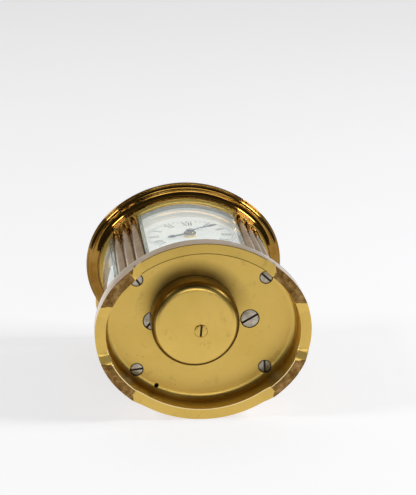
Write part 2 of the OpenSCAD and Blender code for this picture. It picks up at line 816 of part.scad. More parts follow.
module bell_screw() {
    color("goldenrod") screw_up(stud_at, bell_z - 0.6, small_head_r,
        small_shank_r - shank_gap, bell_t + 2.2, 95);
}

// Rear door: a curved frame with its hinge post and pivots
module rear_door_frame() {
    z0 = base_h + door_gap;
    h = window_h - 2 * door_gap;
    a_w = stile_w / (flat_r - door_d) * 180 / PI;
    r0 = flat_r - door_d - door_t;
    r1 = flat_r - door_d;
    mid_r = r0 + door_t / 2;
    rebate_a = rebate / mid_r * 180 / PI;
    shoulder = door_gap / 3;
    color("peru") difference() {
        union() {
            arc_slab([0, -flat_c], r0, r1, z0, h, hinge_a, catch_a);
            translate([hinge_at[0], hinge_at[1], z0 - shoulder])
                cylinder(r = hinge_post_r, h = h + 2 * shoulder);
            translate([hinge_at[0], hinge_at[1], z0 - hinge_pin_l])
                cylinder(r = hinge_pin_r, h = h + 2 * hinge_pin_l);
        }
        arc_slab([0, -flat_c], r0 - 1, r1 + 1, z0 + stile_w, h - 2 * stile_w,
            hinge_a + a_w, catch_a - a_w);
        arc_slab([0, -flat_c], mid_r - door_glass_t / 2 - 0.1, mid_r + door_glass_t / 2 + 0.1,
            z0 + stile_w - rebate, h - 2 * stile_w + 2 * rebate, hinge_a + a_w - rebate_a,
            catch_a - a_w + rebate_a);
        door_knob_hole();
    }
}

module door_knob_hole() {
    a = catch_a - stile_w / 2 / (flat_r - door_d) * 180 / PI;
    translate([0, -flat_c, base_h + window_h / 2]) rotate([0, 0, a]) rotate([0, 90, 0])
        cylinder(r = 0.7, h = flat_r);
}

module rear_door_glass() {
    z0 = base_h + door_gap;
    h = window_h - 2 * door_gap;
    a_w = stile_w / (flat_r - door_d) * 180 / PI;
    mid_r = flat_r - door_d - door_t / 2;
    edge = rebate - 0.1;
    edge_a = edge / mid_r * 180 / PI;
    color("lightcyan", 0.4) arc_slab([0, -flat_c], mid_r - door_glass_t / 2,
        mid_r + door_glass_t / 2, z0 + stile_w - edge, h - 2 * stile_w + 2 * edge,
        hinge_a + a_w - edge_a, catch_a - a_w + edge_a);
}

module rear_door_knob() {
    a = catch_a - stile_w / 2 / (flat_r - door_d) * 180 / PI;
    color("goldenrod") translate([0, -flat_c, base_h + window_h / 2]) rotate([0, 0, a])
        rotate([0, 90, 0]) {
            translate([0, 0, flat_r - door_d + 0.05]) cylinder(r = 0.9, h = 1.5);
            translate([0, 0, flat_r - door_d + 1.5]) cylinder(r = door_knob_r, h = 2);
            translate([0, 0, flat_r - door_d - 1.2]) cylinder(r = 0.65, h = 2);
        }
}

module dial() {
    color("white") difference() {
        translate([-dial_w / 2, dial_y, dial_z]) cube([dial_w, dial_t, dial_h]);
        rod_y(hub, dial_y - 1, dial_back + 1, hour_pipe_r + 0.7);
        rod_y([0, alarm_z], dial_y - 1, dial_back + 1, arbor_r + 0.6);
    }
    foot_x = dial_w / 2 - 5.3;
    color("goldenrod") for (s = [-1, 1], z = [dial_z + 4, dial_z + dial_h - 5])
        rod_y([s * foot_x, z], dial_back, front_out, 1);
}

// A spade hand along Y at level y, its boss of radius r, pointing in direction a
module hand(at, y, len, w, r, bore, a) {
    translate([at[0], y + hand_t, at[1]]) rotate([90, 0, 0]) difference() {
        union() {
            cylinder(r = r, h = hand_t);
            rotate([0, 0, a]) linear_extrude(height = hand_t) polygon([[0, -w / 2],
                [len * 0.66, -w * 0.34], [len * 0.72, -w], [len * 0.8, -w * 1.1], [len, -0.08],
                [len, 0.08], [len * 0.8, w * 1.1], [len * 0.72, w], [len * 0.66, w * 0.34],
                [0, w / 2]]);
        }
        translate([0, 0, -1]) cylinder(r = bore, h = hand_t + 2);
    }
}

module minute_hand() {
    color("slategray") hand(hub, minute_y, minute_l, 0.75, pipe_r + 0.5, minute_bore_r + push_gap,
        90 - 6 * shown_min);
}

module hour_hand() {
    color("slategray") hand(hub, hour_y, hour_l, 0.9, hour_pipe_r + 0.5, hour_pipe_r + push_gap,
        90 - 30 * (shown_hour + shown_min / 60));
}

module alarm_hand() {
    color("slategray") hand([0, alarm_z], alarm_y, alarm_l, 0.6, arbor_r + 0.6, arbor_r + push_gap, 60);
}

// Holes that every plate needs for the arbors
module plate_holes(y0, h) {
    for (p = [hub, barrel_at, alarm_barrel_at])
        rod_y(p, y0 - 1, y0 + h + 1, winding_r + run_gap);
    for (p = [third_at, fourth_at, [0, alarm_z], hammer_at])
        rod_y(p, y0 - 1, y0 + h + 1, arbor_r + run_gap);
    for (p = concat(upper_posts, lower_posts))
        rod_y(p, y0 - 1, y0 + h + 1, plate_shank_r + shank_gap);
}

// One plate of the movement, with its upper corners cut off
module plate(y0) {
    x = plate_w / 2;
    cut = [3, 5];
    translate([0, y0 + plate_t, plate_z]) rotate([90, 0, 0]) linear_extrude(height = plate_t)
        polygon([[-x, 0], [x, 0], [x, plate_h - cut[1]], [x - cut[0], plate_h],
            [cut[0] - x, plate_h], [-x, plate_h - cut[1]]]);
}

module front_plate() {
    color("gold") difference() {
        plate(front_out);
        plate_holes(front_out, plate_t);
    }
    color("silver") rod_y(minute_at, front_out - 4, front_out, arbor_r);
}

module back_plate() {
    color("gold") difference() {
        plate(back_in);
        plate_holes(back_in, plate_t);
    }
    for (p = [click_at(barrel_at, going_click_a), click_at(alarm_barrel_at, alarm_click_a)])
        color("silver") rod_y(p, back_out, back_out + 2, click_pin_r);
}

module plate_posts() {
    color("gold") {
        for (p = upper_posts) difference() {
            rod_y(p, front_in, back_in, post_bar_r);
            rod_y(p, front_in - 1, back_in + 1, plate_shank_r + push_gap);
        }
        for (p = lower_posts) difference() {
            translate([p[0] - post_block / 2, front_in, base_h])
                cube([post_block, plate_space, post_block]);
            rod_y(p, front_in - 1, front_in + 4, plate_shank_r + push_gap);
            rod_y(p, back_in - 4, back_in + 1, plate_shank_r + push_gap);
            translate([p[0], movement_y, base_h - 1]) cylinder(r = large_shank_r + shank_gap, h = 5);
        }
    }
}

module plate_screws() {
    color("silver") for (p = concat(upper_posts, lower_posts), s = [-1, 1]) {
        y = movement_y + s * (plate_space / 2 + plate_t);
        rod_y(p, min(y, y + s * 0.9), max(y, y + s * 0.9), plate_head_r);
        rod_y(p, min(y, y - s * 4), max(y, y - s * 4), plate_shank_r);
    }
}

// A spring barrel along Y: a hollow drum with a lid, and teeth if n is over 0
module barrel(at, r, n, m, a) {
    y0 = barrel_front;
    y1 = barrel_front + barrel_len;
    difference() {
        union() {
            rod_y(at, y0, y1, r);
            if (n > 0) gear_y(at, barrel_teeth_y, teeth_t, n, m, a);
        }
        rod_y(at, y0 + barrel_wall, y1 - barrel_wall, r - barrel_wall);
        rod_y(at, y0 - 1, y1 + 1, winding_r + run_gap);
    }
}

// A mainspring: a flat spiral strip inside a barrel
module mainspring(at, r) {
    turns = 6;
    n = 20 * turns;
    w = 0.25;
    r0 = winding_r + 0.7;
    r1 = r - barrel_wall - 0.5;
    translate([at[0], barrel_front + barrel_len - barrel_wall - 0.3, at[1]]) rotate([90, 0, 0])
        linear_extrude(height = barrel_len - 2 * barrel_wall - 0.6) polygon(concat(
            [for (i = [0 : n]) polar(r0 + (r1 - r0) * i / n + w, 360 * turns * i / n)],
            [for (i = [n : -1 : 0]) polar(r0 + (r1 - r0) * i / n - w, 360 * turns * i / n)]));
}

// A winding arbor with its ratchet wheel behind the back plate and a square end
module winding_arbor(at, a) {
    n = 20;
    rod_y(at, front_out, back_out + 0.1, winding_r);
    rod_y(at, back_out, key_y - 1, winding_r * 0.9);
    translate([at[0], ratchet_y + ratchet_t, at[1]]) rotate([90, 0, 0])
        rotate([0, 0, a]) linear_extrude(height = ratchet_t) polygon([for (i = [0 : n - 1],
            k = [[ratchet_r - 0.6, 0], [ratchet_r, 0.9]]) polar(k[0], (i + k[1]) * 360 / n)]);
    translate([at[0] - key_square / 2, key_y - 2, at[1] - key_square / 2])
        cube([key_square, 4, key_square]);
}

// A wing key along Y on a square arbor, its wings turned by a
module wing_key(at, r, a) {
    wing_r = 3.2;
    wing_t = 1.2;
    hole = key_square + 2 * run_gap;
    translate([at[0], key_y, at[1]]) rotate([-90, 0, 0]) rotate([0, 0, a]) difference() {
        union() {
            cylinder(r = 2, h = 3.6);
            for (s = [-1, 1]) translate([s * (r - wing_r), wing_t / 2, 2.6]) rotate([90, 0, 0])
                cylinder(r = wing_r, h = wing_t);
            translate([wing_r - r, -wing_t / 2, 0.6]) cube([2 * (r - wing_r), wing_t, 3]);
        }
        rotate([0, 0, -a]) translate([-hole / 2, -hole / 2, -1]) cube([hole, hole, 3.2]);
    }
}

// A click that lies against its ratchet wheel
module click(at, a) {
    p = click_at(at, a);
    translate([p[0], ratchet_y + ratchet_t, p[1]]) rotate([90, 0, 0]) difference() {
        union() {
            cylinder(r = 1.4, h = ratchet_t);
            rotate([0, 0, a]) linear_extrude(height = ratchet_t)
                polygon([[-0.6, -1.3], [0.8, -1], [-0.6, 4.2], [-1.6, 4.4]]);
        }
        translate([0, 0, -1]) cylinder(r = click_pin_r + run_gap, h = 3);
    }
}

module going_barrel() {
    color("gold") barrel(barrel_at, barrel_r, barrel_teeth, barrel_m, barrel_a - 180);
}

module going_mainspring() {
    color("steelblue") mainspring(barrel_at, barrel_r);
}

module going_winding_arbor() {
    color("silver") winding_arbor(barrel_at, 0);
}

module going_key() {
    color("goldenrod") wing_key(barrel_at, going_key_r, 30);
}

module going_click() {
    color("silver") click(barrel_at, going_click_a);
}

module alarm_barrel() {
    color("gold") barrel(alarm_barrel_at, alarm_barrel_r, 0, 1, 0);
}

module alarm_mainspring() {
    color("steelblue") mainspring(alarm_barrel_at, alarm_barrel_r);
}

module alarm_winding_arbor() {
    color("silver") winding_arbor(alarm_barrel_at, 0);
}

module alarm_key() {
    color("goldenrod") wing_key(alarm_barrel_at, alarm_key_r, -35);
}

module alarm_click() {
    color("silver") click(alarm_barrel_at, alarm_click_a);
}

module centre_arbor() {
    color("silver") {
        rod_y(hub, front_out - 0.4, back_out + 0.2, winding_r);
        rod_y(hub, minute_y - 0.6, key_y + 0.5, arbor_r);
        gear_y(hub, barrel_teeth_y - 0.4, teeth_t + 0.8, centre_leaves, barrel_m,
            barrel_a + 180 / centre_leaves);
    }
}

module centre_wheel() {
    color("gold") wheel_y(hub, centre_wheel_y, centre_teeth, train_m, third_a,
        winding_r + push_gap);
}

module cannon_pinion() {
    color("silver") difference() {
        union() {
            gear_y(hub, front_out - 2.3, 1.7, cannon_leaves, motion_m,
                motion_a + 180 / cannon_leaves);
            rod_y(hub, minute_y + hand_t, front_out - 1, pipe_r);
            rod_y(hub, minute_y - 0.2, front_out - 1, minute_bore_r);
        }
        rod_y(hub, minute_y - 1, front_out, arbor_r + push_gap);
    }
}

module minute_wheel() {
    color("gold") difference() {
        union() {
            gear_y(minute_at, front_out - 2, 0.8, minute_teeth, motion_m, motion_a + 180);
            gear_y(minute_at, front_out - 3.7, 1.8, minute_leaves, hour_m,
                motion_a + 180 + 180 / minute_leaves);
        }
        rod_y(minute_at, front_out - 5, front_out, arbor_r + run_gap);
    }
}

module hour_wheel() {
    color("gold") difference() {
        union() {
            gear_y(hub, front_out - 3.5, 0.8, hour_teeth, hour_m, motion_a);
            rod_y(hub, hour_y + hand_t, front_out - 2.8, hour_pipe_r + 0.3);
            rod_y(hub, hour_y, front_out - 2.8, hour_pipe_r);
        }
        rod_y(hub, hour_y - 1, front_out, pipe_r + run_gap);
    }
}

module third_wheel() {
    color("silver") {
        rod_y(third_at, front_out, back_out, arbor_r);
        gear_y(third_at, centre_wheel_y - 0.4, wheel_t + 0.8, third_leaves, train_m,
            third_a + 180 + 180 / third_leaves);
    }
    color("gold") wheel_y(third_at, third_wheel_y, third_teeth, train_m, fourth_a, arbor_r - 0.05);
}

// The contrate wheel, with crown teeth that drive the upright escape arbor
module contrate_wheel() {
    r = 6;
    color("silver") {
        rod_y(fourth_at, front_out, back_out, arbor_r);
        gear_y(fourth_at, third_wheel_y - 0.4, wheel_t + 0.8, fourth_leaves, train_m,
            fourth_a + 180 + 180 / fourth_leaves);
    }
    color("gold") translate([fourth_at[0], contrate_y, fourth_at[1]]) rotate([-90, 0, 0]) {
        difference() {
            cylinder(r = r, h = 1.1);
            translate([0, 0, 0.7]) cylinder(r = r - 0.7, h = 2);
            for (i = [0 : 3]) rotate([0, 0, 90 * i]) translate([3.3, 0, -1])
                cylinder(r = 1.5, h = 3);
        }
        for (i = [0 : contrate_teeth - 1]) rotate([0, 0, 360 / contrate_teeth * i])
            translate([r - 0.6, -0.2, 1]) cube([0.5, 0.4, 0.6]);
    }
}

module setting_knob() {
    color("goldenrod") difference() {
        rod_y(hub, key_y - 0.6, key_y + 2.4, setting_knob_r);
        rod_y(hub, key_y - 2, key_y + 0.5, arbor_r + push_gap);
    }
}

module alarm_arbor() {
    color("silver") {
        rod_y([0, alarm_z], alarm_y - 0.3, key_y + 0.5, arbor_r);
        rod_y([0, alarm_z], front_out - 3, front_out - 2.2, 3);
        rod_y([0, alarm_z], back_out + 0.2, back_out + 0.8, 1.4);
    }
}

module alarm_knob() {
    color("goldenrod") difference() {
        rod_y([0, alarm_z], key_y - 0.6, key_y + 2, alarm_knob_r);
        rod_y([0, alarm_z], key_y - 2, key_y + 0.5, arbor_r + push_gap);
    }
}

// The hammer: an arbor between the plates, an arm through the base and a head in the bell
module alarm_hammer() {
    bell_in = bell_at[0] + sqrt(pow(bell_r - bell_t, 2) - pow(hammer_y - bell_at[1], 2));
    color("silver") {
        rod_y(hammer_at, front_out, back_out, arbor_r);
        rod_y(hammer_at, hammer_y - 1.2, hammer_y + 1.2, 1.5);
        translate([hammer_at[0] - 0.5, hammer_y - 0.5, hammer_head_z])
            cube([1, 1, hammer_at[1] - hammer_head_z]);
        translate([hammer_at[0] - 1, hammer_y, hammer_head_z]) rotate([0, 90, 0])
            cylinder(r = 1.5, h = bell_in - hammer_at[0] + 1 - 0.7);
    }
}

module platform() {
    color("gold") difference() {
        translate([-platform_w / 2, front_out, plate_top])
            cube([platform_w, plate_space + 2 * plate_t, platform_t]);
        for (p = [escape_at, lever_at, balance_at]) translate([p[0], p[1], plate_top - 1])
            cylinder(r = staff_r + run_gap, h = 4);
    }
}

module escape_wheel() {
    color("silver") {
        translate([escape_at[0], escape_at[1], plate_top - 3.4]) cylinder(r = staff_r, h = 6.2);
        translate([escape_at[0], escape_at[1], plate_top - 3.4]) linear_extrude(height = 2.6)
            gear_outline(8, 0.22);
    }
    color("gold") translate([escape_at[0], escape_at[1], platform_top + 0.7])
        linear_extrude(height = 0.4) polygon([for (i = [0 : escape_teeth - 1],
            k = [[escape_r - 0.9, 0], [escape_r, 0.5], [escape_r - 0.1, 0.62]])
                polar(k[0], (i + k[1]) * 360 / escape_teeth)]);
}

module pallet_lever() {
    a = atan2(balance_at[1] - escape_at[1], balance_at[0] - escape_at[0]);
    color("silver") translate([lever_at[0], lever_at[1], 0]) rotate([0, 0, a]) {
        translate([0, 0, plate_top]) cylinder(r = staff_r, h = platform_t + 2.6);
        translate([0, 0, platform_top + 1.4]) linear_extrude(height = 0.4)
            polygon([[-0.5, -2.4], [0.5, -2.4], [0.7, -0.5], [3.6, -0.25], [3.6, 0.25],
                [0.7, 0.5], [0.5, 2.4], [-0.5, 2.4]]);
    }
}

module balance_wheel() {
    color("gold") translate([balance_at[0], balance_at[1], balance_z]) {
        difference() {
            cylinder(r = balance_r, h = 0.8);
            translate([0, 0, -1]) cylinder(r = balance_r - 0.8, h = 3);
        }
        translate([-balance_r + 0.4, -0.5, 0]) cube([2 * balance_r - 0.8, 1, 0.8]);
        cylinder(r = 1, h = 0.8);
        translate([0, 0, plate_top - balance_z])
            cylinder(r = staff_r, h = cock_z + 0.8 - plate_top);
    }
}

// Flat spiral between the balance and its cock
module hairspring() {
    turns = 5;
    n = 24 * turns;
    w = 0.06;
    color("steelblue") translate([balance_at[0], balance_at[1], balance_z + 1.4])
        linear_extrude(height = 0.3) polygon(concat(
            [for (i = [0 : n]) polar(0.9 + 2.6 * i / n + w, 360 * turns * i / n)],
            [for (i = [n : -1 : 0]) polar(0.9 + 2.6 * i / n - w, 360 * turns * i / n)]));
}

module balance_cock() {
    foot_x = platform_w / 2 - 1.5;
    color("gold") difference() {
        union() {
            translate([balance_at[0], balance_at[1], cock_z]) cylinder(r = 2.2, h = cock_t);
            translate([balance_at[0], balance_at[1] - 1.5, cock_z])
                cube([foot_x - balance_at[0] + 1, 3, cock_t]);
            translate([foot_x - 0.2, balance_at[1] - 3, platform_top])
                cube([1.7, 6, cock_z - platform_top + cock_t]);
        }
        translate([balance_at[0], balance_at[1], cock_z - 1])
            cylinder(r = staff_r + run_gap, h = 4);
    }
    color("silver") translate([balance_at[0], balance_at[1], cock_z + cock_t]) difference() {
        cylinder(r = 1, h = 0.9);
        translate([0, 0, -1]) cylinder(r = staff_r + run_gap, h = 4);
    }
}

module regulator() {
    color("steelblue") translate([balance_at[0], balance_at[1], cock_z + cock_t + 0.1])
        difference() {
            union() {
                cylinder(r = 1.8, h = 0.5);
                rotate([0, 0, 180]) translate([0, -0.3, 0]) cube([5.5, 0.6, 0.5]);
            }
            translate([0, 0, -1]) cylinder(r = 1 + run_gap, h = 3);
        }
}

base();
pillar([1, -1]);  // pillar_front_right
pillar([-1, -1]);  // pillar_front_left
pillar([1, 1]);  // pillar_rear_right
pillar([-1, 1]);  // pillar_rear_left
cornice();
front_glass();
side_glass();  // right_glass
mirror([1, 0, 0]) side_glass();  // left_glass
top_glass();
top_bezel();
handle_posts();
handle_pivots();
handle();
pillar_screws();
cornice_screws();
movement_screws();
bell();
bell_stud();
bell_screw();
rear_door_frame();
rear_door_glass();
rear_door_knob();
dial();
minute_hand();
hour_hand();
alarm_hand();
front_plate();
back_plate();
plate_posts();
plate_screws();
going_barrel();
going_mainspring();
going_winding_arbor();
going_key();
going_click();
alarm_barrel();
alarm_mainspring();
alarm_winding_arbor();
alarm_key();
alarm_click();
centre_arbor();
centre_wheel();
cannon_pinion();
minute_wheel();
hour_wheel();
third_wheel();
contrate_wheel();
setting_knob();
alarm_arbor();
alarm_knob();
alarm_hammer();
platform();
escape_wheel();
pallet_lever();
balance_wheel();
hairspring();
balance_cock();
regulator();
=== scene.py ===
import math

import bmesh
import bpy
from mathutils import Matrix, Vector


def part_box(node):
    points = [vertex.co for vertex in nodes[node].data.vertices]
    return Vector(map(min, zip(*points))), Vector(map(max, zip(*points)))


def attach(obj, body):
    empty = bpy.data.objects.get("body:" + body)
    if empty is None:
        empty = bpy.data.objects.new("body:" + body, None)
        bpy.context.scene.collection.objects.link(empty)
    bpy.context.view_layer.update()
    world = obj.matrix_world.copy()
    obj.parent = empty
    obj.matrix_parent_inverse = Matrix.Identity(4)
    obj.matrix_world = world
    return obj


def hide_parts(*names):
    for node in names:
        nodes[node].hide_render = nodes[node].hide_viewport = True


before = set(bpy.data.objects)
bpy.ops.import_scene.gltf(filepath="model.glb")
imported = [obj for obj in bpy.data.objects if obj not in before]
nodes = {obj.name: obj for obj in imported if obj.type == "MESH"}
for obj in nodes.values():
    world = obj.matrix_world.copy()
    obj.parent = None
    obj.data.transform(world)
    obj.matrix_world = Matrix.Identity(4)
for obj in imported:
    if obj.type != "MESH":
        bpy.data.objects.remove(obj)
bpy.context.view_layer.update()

# Camera: the clock lies on its back in the photograph, so its underside faces the lens and
# its dial faces up. The case's outline, the screws and the bell gave the place, the angles
# and the focal length.
MM = 0.001
camera_at = Vector((-63.10, -224.80, -651.68)) * MM
camera_angles = (math.radians(163.635), math.radians(5.488), math.radians(-0.466))
focal_px = 1889.1
photo_h_px = 495
camera_data = bpy.data.cameras.new("camera")
camera_data.sensor_width = 36
camera_data.lens = focal_px * camera_data.sensor_width / photo_h_px
camera_data.clip_start = 0.01
camera = bpy.data.objects.new("camera", camera_data)
camera.location = camera_at
camera.rotation_euler = camera_angles
bpy.context.scene.collection.objects.link(camera)
bpy.context.scene.camera = camera
bpy.context.scene.view_settings.view_transform = "Standard"


# Studio: a dark room with a bright backdrop behind the table, so that polished brass shows
# its shape. What the lens sees of the room directly is plain white.
def node(tree, kind, sockets=None, **settings):
    """Adds a shader node, with its settings and with values or links on its sockets."""
    made = tree.nodes.new("ShaderNode" + kind)
    for name, value in settings.items():
        setattr(made, name, value)
    for name, value in (sockets or {}).items():
        if isinstance(value, bpy.types.NodeSocket):
            tree.links.new(value, made.inputs[name])
        else:
            made.inputs[name].default_value = value
    return made


room_light = 0.05
backdrop_light = 0.55
backdrop_way = Vector((0.05, -0.28, 0.96)).normalized()
world = bpy.data.worlds.new("studio")
bpy.context.scene.world = world
world.use_nodes = True
sky = world.node_tree
sky.nodes.clear()
way = node(sky, "TexCoord").outputs["Generated"]
towards = node(sky, "VectorMath", {0: way, 1: backdrop_way}, operation="DOT_PRODUCT")
dome = node(sky, "MapRange", {"Value": towards.outputs["Value"], "From Min": 0.35, "From Max": 0.85,
    "To Min": room_light, "To Max": backdrop_light}, interpolation_type="SMOOTHSTEP")
room = node(sky, "Background", {"Color": (1, 1, 1, 1), "Strength": dome.outputs["Result"]})
plain = node(sky, "Background", {"Color": (0.90, 0.91, 0.92, 1), "Strength": 1.0})
seen = node(sky, "LightPath").outputs["Is Camera Ray"]
sky_mix = node(sky, "MixShader", {0: seen, 1: room.outputs[0], 2: plain.outputs[0]})
sky.links.new(sky_mix.outputs[0], node(sky, "OutputWorld").inputs["Surface"])


# Lamps: a small softbox at each side of the table draws the streaks on the cornice. One behind
# the camera lights the recess, and one lights the clock's rear.
def softbox(name, at, aim, size, watts):
    """A rectangular lamp in metres and watts that faces a point."""
    data = bpy.data.lights.new(name, "AREA")
    data.shape = "RECTANGLE"
    data.size, data.size_y = size
    data.energy = watts
    lamp = bpy.data.objects.new(name, data)
    lamp.location = at
    lamp.rotation_euler = (Vector(aim) - Vector(at)).to_track_quat("-Z", "Y").to_euler()
    bpy.context.scene.collection.objects.link(lamp)


clock_middle = (0, 0, 0.046)
softbox("softbox_left", (-1.10, -0.86, -0.13), clock_middle, (0.26, 0.40), 5)
softbox("softbox_right", (1.12, -0.80, -0.10), clock_middle, (0.36, 0.45), 11)
softbox("softbox_camera", (0.14, -0.36, -1.5), clock_middle, (0.8, 0.30), 3.0)
softbox("softbox_rear", (0.3, 0.9, 1.0), clock_middle, (0.8, 0.8), 5)


# Table: the white sheet that the clock lies on in the photograph. It touches the clock's
# back, and it is see-through from behind, so that the clock's rear can be looked at.
def stage_sheet(name, corners):
    """A flat sheet of the stage, which isn't part of the clock."""
    mesh = bpy.data.meshes.new(name)
    mesh.from_pydata([Vector(c) for c in corners], [], [(0, 1, 2, 3)])
    sheet = bpy.data.objects.new(name, mesh)
    bpy.context.scene.collection.objects.link(sheet)
    return sheet


def stage_material(name, colour, hidden):
    """Matt sheet that glows a little, less so far from the camera, so that shadows stay soft.

    hidden(tree) gives the socket that is 1 where a ray should pass through.
    """
    glow_share = 0.45
    glow_near, glow_far = 1.53, 1.42
    material = bpy.data.materials.new(name)
    material.use_nodes = True
    tree = material.node_tree
    tree.nodes.clear()
    where = node(tree, "TexCoord").outputs["Object"]
    patches = node(tree, "TexNoise", {"Vector": where, "Scale": 9.0, "Detail": 3.0})
    shade = node(tree, "MixRGB", {0: patches.outputs["Fac"], 1: (*[c * 0.985 for c in colour], 1),
        2: (*colour, 1)})
    matt = node(tree, "BsdfDiffuse", {"Color": shade.outputs[0]})
    far = node(tree, "MapRange", {"Value": node(tree, "SeparateXYZ", {0: where}).outputs["Z"],
        "From Min": 0.1, "From Max": 1.1, "To Min": glow_near, "To Max": glow_far}).outputs["Result"]
    even = node(tree, "Emission", {"Color": shade.outputs[0], "Strength": far})
    lit = node(tree, "MixShader", {0: glow_share, 1: matt.outputs[0], 2: even.outputs[0]})
    clear = node(tree, "BsdfTransparent")
    mixed = node(tree, "MixShader", {0: hidden(tree), 1: lit.outputs[0], 2: clear.outputs[0]})
    tree.links.new(mixed.outputs[0], node(tree, "OutputMaterial").inputs["Surface"])
    return material


def from_behind(tree):
    """1 for a ray that meets the back of the sheet."""
    return node(tree, "NewGeometry").outputs["Backfacing"]


def not_seen_from_above(tree):
    """1 for every ray but a camera ray that meets the front of the sheet."""
    ray = node(tree, "LightPath").outputs["Is Camera Ray"]
    behind = node(tree, "NewGeometry").outputs["Backfacing"]
    front = node(tree, "Math", {0: 1.0, 1: behind}, operation="SUBTRACT")
    shown = node(tree, "Math", {0: ray, 1: front.outputs[0]}, operation="MULTIPLY")
    return node(tree, "Math", {0: 1.0, 1: shown.outputs[0]}, operation="SUBTRACT").outputs[0]


base_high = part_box("base")[1]
half_w = base_high.x
half_d = base_high.y
sheet_reach = 6.0
table_edge = -0.30
table_y = half_d + 0.02 * MM
table = stage_sheet("table", [(-sheet_reach, table_y, table_edge), (sheet_reach, table_y, table_edge),
    (sheet_reach, table_y, sheet_reach), (-sheet_reach, table_y, sheet_reach)])
table.data.materials.append(stage_material("table_white", (0.91, 0.91, 0.92), from_behind))
table.visible_shadow = False
floor = stage_sheet("floor", [(-sheet_reach, -sheet_reach, 0), (sheet_reach, -sheet_reach, 0),
    (sheet_reach, sheet_reach, 0), (-sheet_reach, sheet_reach, 0)])
floor.data.materials.append(stage_material("floor_white", (0.88, 0.88, 0.89), not_seen_from_above))
floor.visible_shadow = False


# Base: a brass casting with a plain flange and a stepped moulding, turned out underneath
# to a recess. The outside is polished, and the recess and rim have a satin finish.
def new_material(name):
    """A material with its Principled shader, its tree and its Object coordinates."""
    material = bpy.data.materials.new(name)
    material.use_nodes = True
    tree = material.node_tree
    shader = tree.nodes["Principled BSDF"]
    return material, tree, shader, node(tree, "TexCoord").outputs["Object"]


def noise(tree, where, scale, detail=3.0, roughness=0.5):
    """Cloudy values from 0 to 1."""
    return node(tree, "TexNoise", {"Vector": where, "Scale": scale, "Detail": detail,
        "Roughness": roughness}).outputs["Fac"]


def steps(tree, value, *stops):
    """A colour ramp over (position, colour) stops; a plain number is a grey."""
    ramp = node(tree, "ValToRGB", {"Fac": value})
    points = ramp.color_ramp.elements
    while len(points) < len(stops):
        points.new(1.0)
    for point, (place, colour) in zip(points, stops):
        point.position = place
        point.color = (*colour, 1) if isinstance(colour, tuple) else (colour, colour, colour, 1)
    return ramp.outputs["Color"]


def over(tree, amount, below, above):
    """above laid over below by amount."""
    return node(tree, "MixRGB", {0: amount, 1: below, 2: above}).outputs[0]


def bump(tree, height, strength, depth):
    """The normal of a surface roughened by a height."""
    return node(tree, "Bump", {"Height": height, "Strength": strength,
        "Distance": depth}).outputs["Normal"]


def satin_brass(name, worn_feet_and_bell_shade=False, shine=0.33, darkening=0.0):
    """Satin brass with stains and specks.

    The first flag adds the worn undersides of the feet, and painted shade on the recess floor beside the
    bell. shine is the least roughness, and the last share mixes in dark brass as painted shade.
    """
    foot_skin = 0.25 * MM
    bell_shade_reach = 6.5 * MM
    recess_from = 5 * MM
    material, tree, shader, where = new_material(name)
    place = node(tree, "SeparateXYZ", {0: where})
    clouds = noise(tree, where, 70, 5, 0.6)
    tone = steps(tree, clouds, (0.30, (0.64, 0.435, 0.102)), (0.72, (0.73, 0.50, 0.130)))
    stains = steps(tree, noise(tree, where, 190, 6, 0.65), (0.60, 0.0), (0.74, 0.45))
    tone = over(tree, stains, tone, (0.36, 0.235, 0.06, 1))
    specks = steps(tree, noise(tree, where, 900, 2), (0.72, 0.0), (0.76, 0.8))
    tone = over(tree, specks, tone, (0.20, 0.12, 0.04, 1))
    # Painted shade: the last share mixes in dark brass.
    tone = over(tree, darkening, tone, (0.09, 0.050, 0.010, 1))
    rough = steps(tree, clouds, (0.3, shine), (0.7, shine + 0.06))
    if worn_feet_and_bell_shade:
        # Painted shade: the recess floor darkens towards the bell on its -Y side, more than 5 mm deep.
        low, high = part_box("bell")
        middle, reach = (low + high) / 2, (high.x - low.x) / 2
        flat = node(tree, "Mapping", {"Vector": where, "Scale": (1, 1, 0)}).outputs["Vector"]
        gap = node(tree, "VectorMath", {0: flat, 1: (middle.x, middle.y, 0)}, operation="DISTANCE")
        near = node(tree, "MapRange", {"Value": gap.outputs["Value"], "From Min": reach,
            "From Max": reach + bell_shade_reach, "To Min": 0.85, "To Max": 0.0}).outputs["Result"]
        front = node(tree, "MapRange", {"Value": place.outputs["Y"], "From Min": middle.y - reach,
            "From Max": middle.y, "To Min": 1.0, "To Max": 0.0}).outputs["Result"]
        deep = node(tree, "Math", {0: place.outputs["Z"], 1: recess_from},
            operation="GREATER_THAN").outputs[0]
        bell_shade = node(tree, "Math", {0: near, 1: front}, operation="MULTIPLY").outputs[0]
        bell_shade = node(tree, "Math", {0: bell_shade, 1: deep}, operation="MULTIPLY").outputs[0]
        tone = over(tree, bell_shade, tone, (0.10, 0.055, 0.010, 1))
        foot = node(tree, "Math", {0: place.outputs["Z"], 1: foot_skin},
            operation="LESS_THAN").outputs[0]
        mottle = steps(tree, noise(tree, where, 330, 7, 0.7), (0.36, (0.13, 0.065, 0.016)),
            (0.50, (0.27, 0.150, 0.044)), (0.64, (0.46, 0.29, 0.115)))
        pits = steps(tree, noise(tree, where, 1100, 4, 0.7), (0.58, 0.0), (0.68, 0.7))
        mottle = over(tree, pits, mottle, (0.07, 0.035, 0.012, 1))
        tone = over(tree, foot, tone, mottle)
        rough = over(tree, foot, rough, (0.55, 0.55, 0.55, 1))
    shader.inputs["Metallic"].default_value = 1.0
    tree.links.new(tone, shader.inputs["Base Color"])
    tree.links.new(rough, shader.inputs["Roughness"])
    grain = noise(tree, where, 5200, 2)
    tree.links.new(bump(tree, grain, 0.35, 0.02 * MM), shader.inputs["Normal"])
    return material


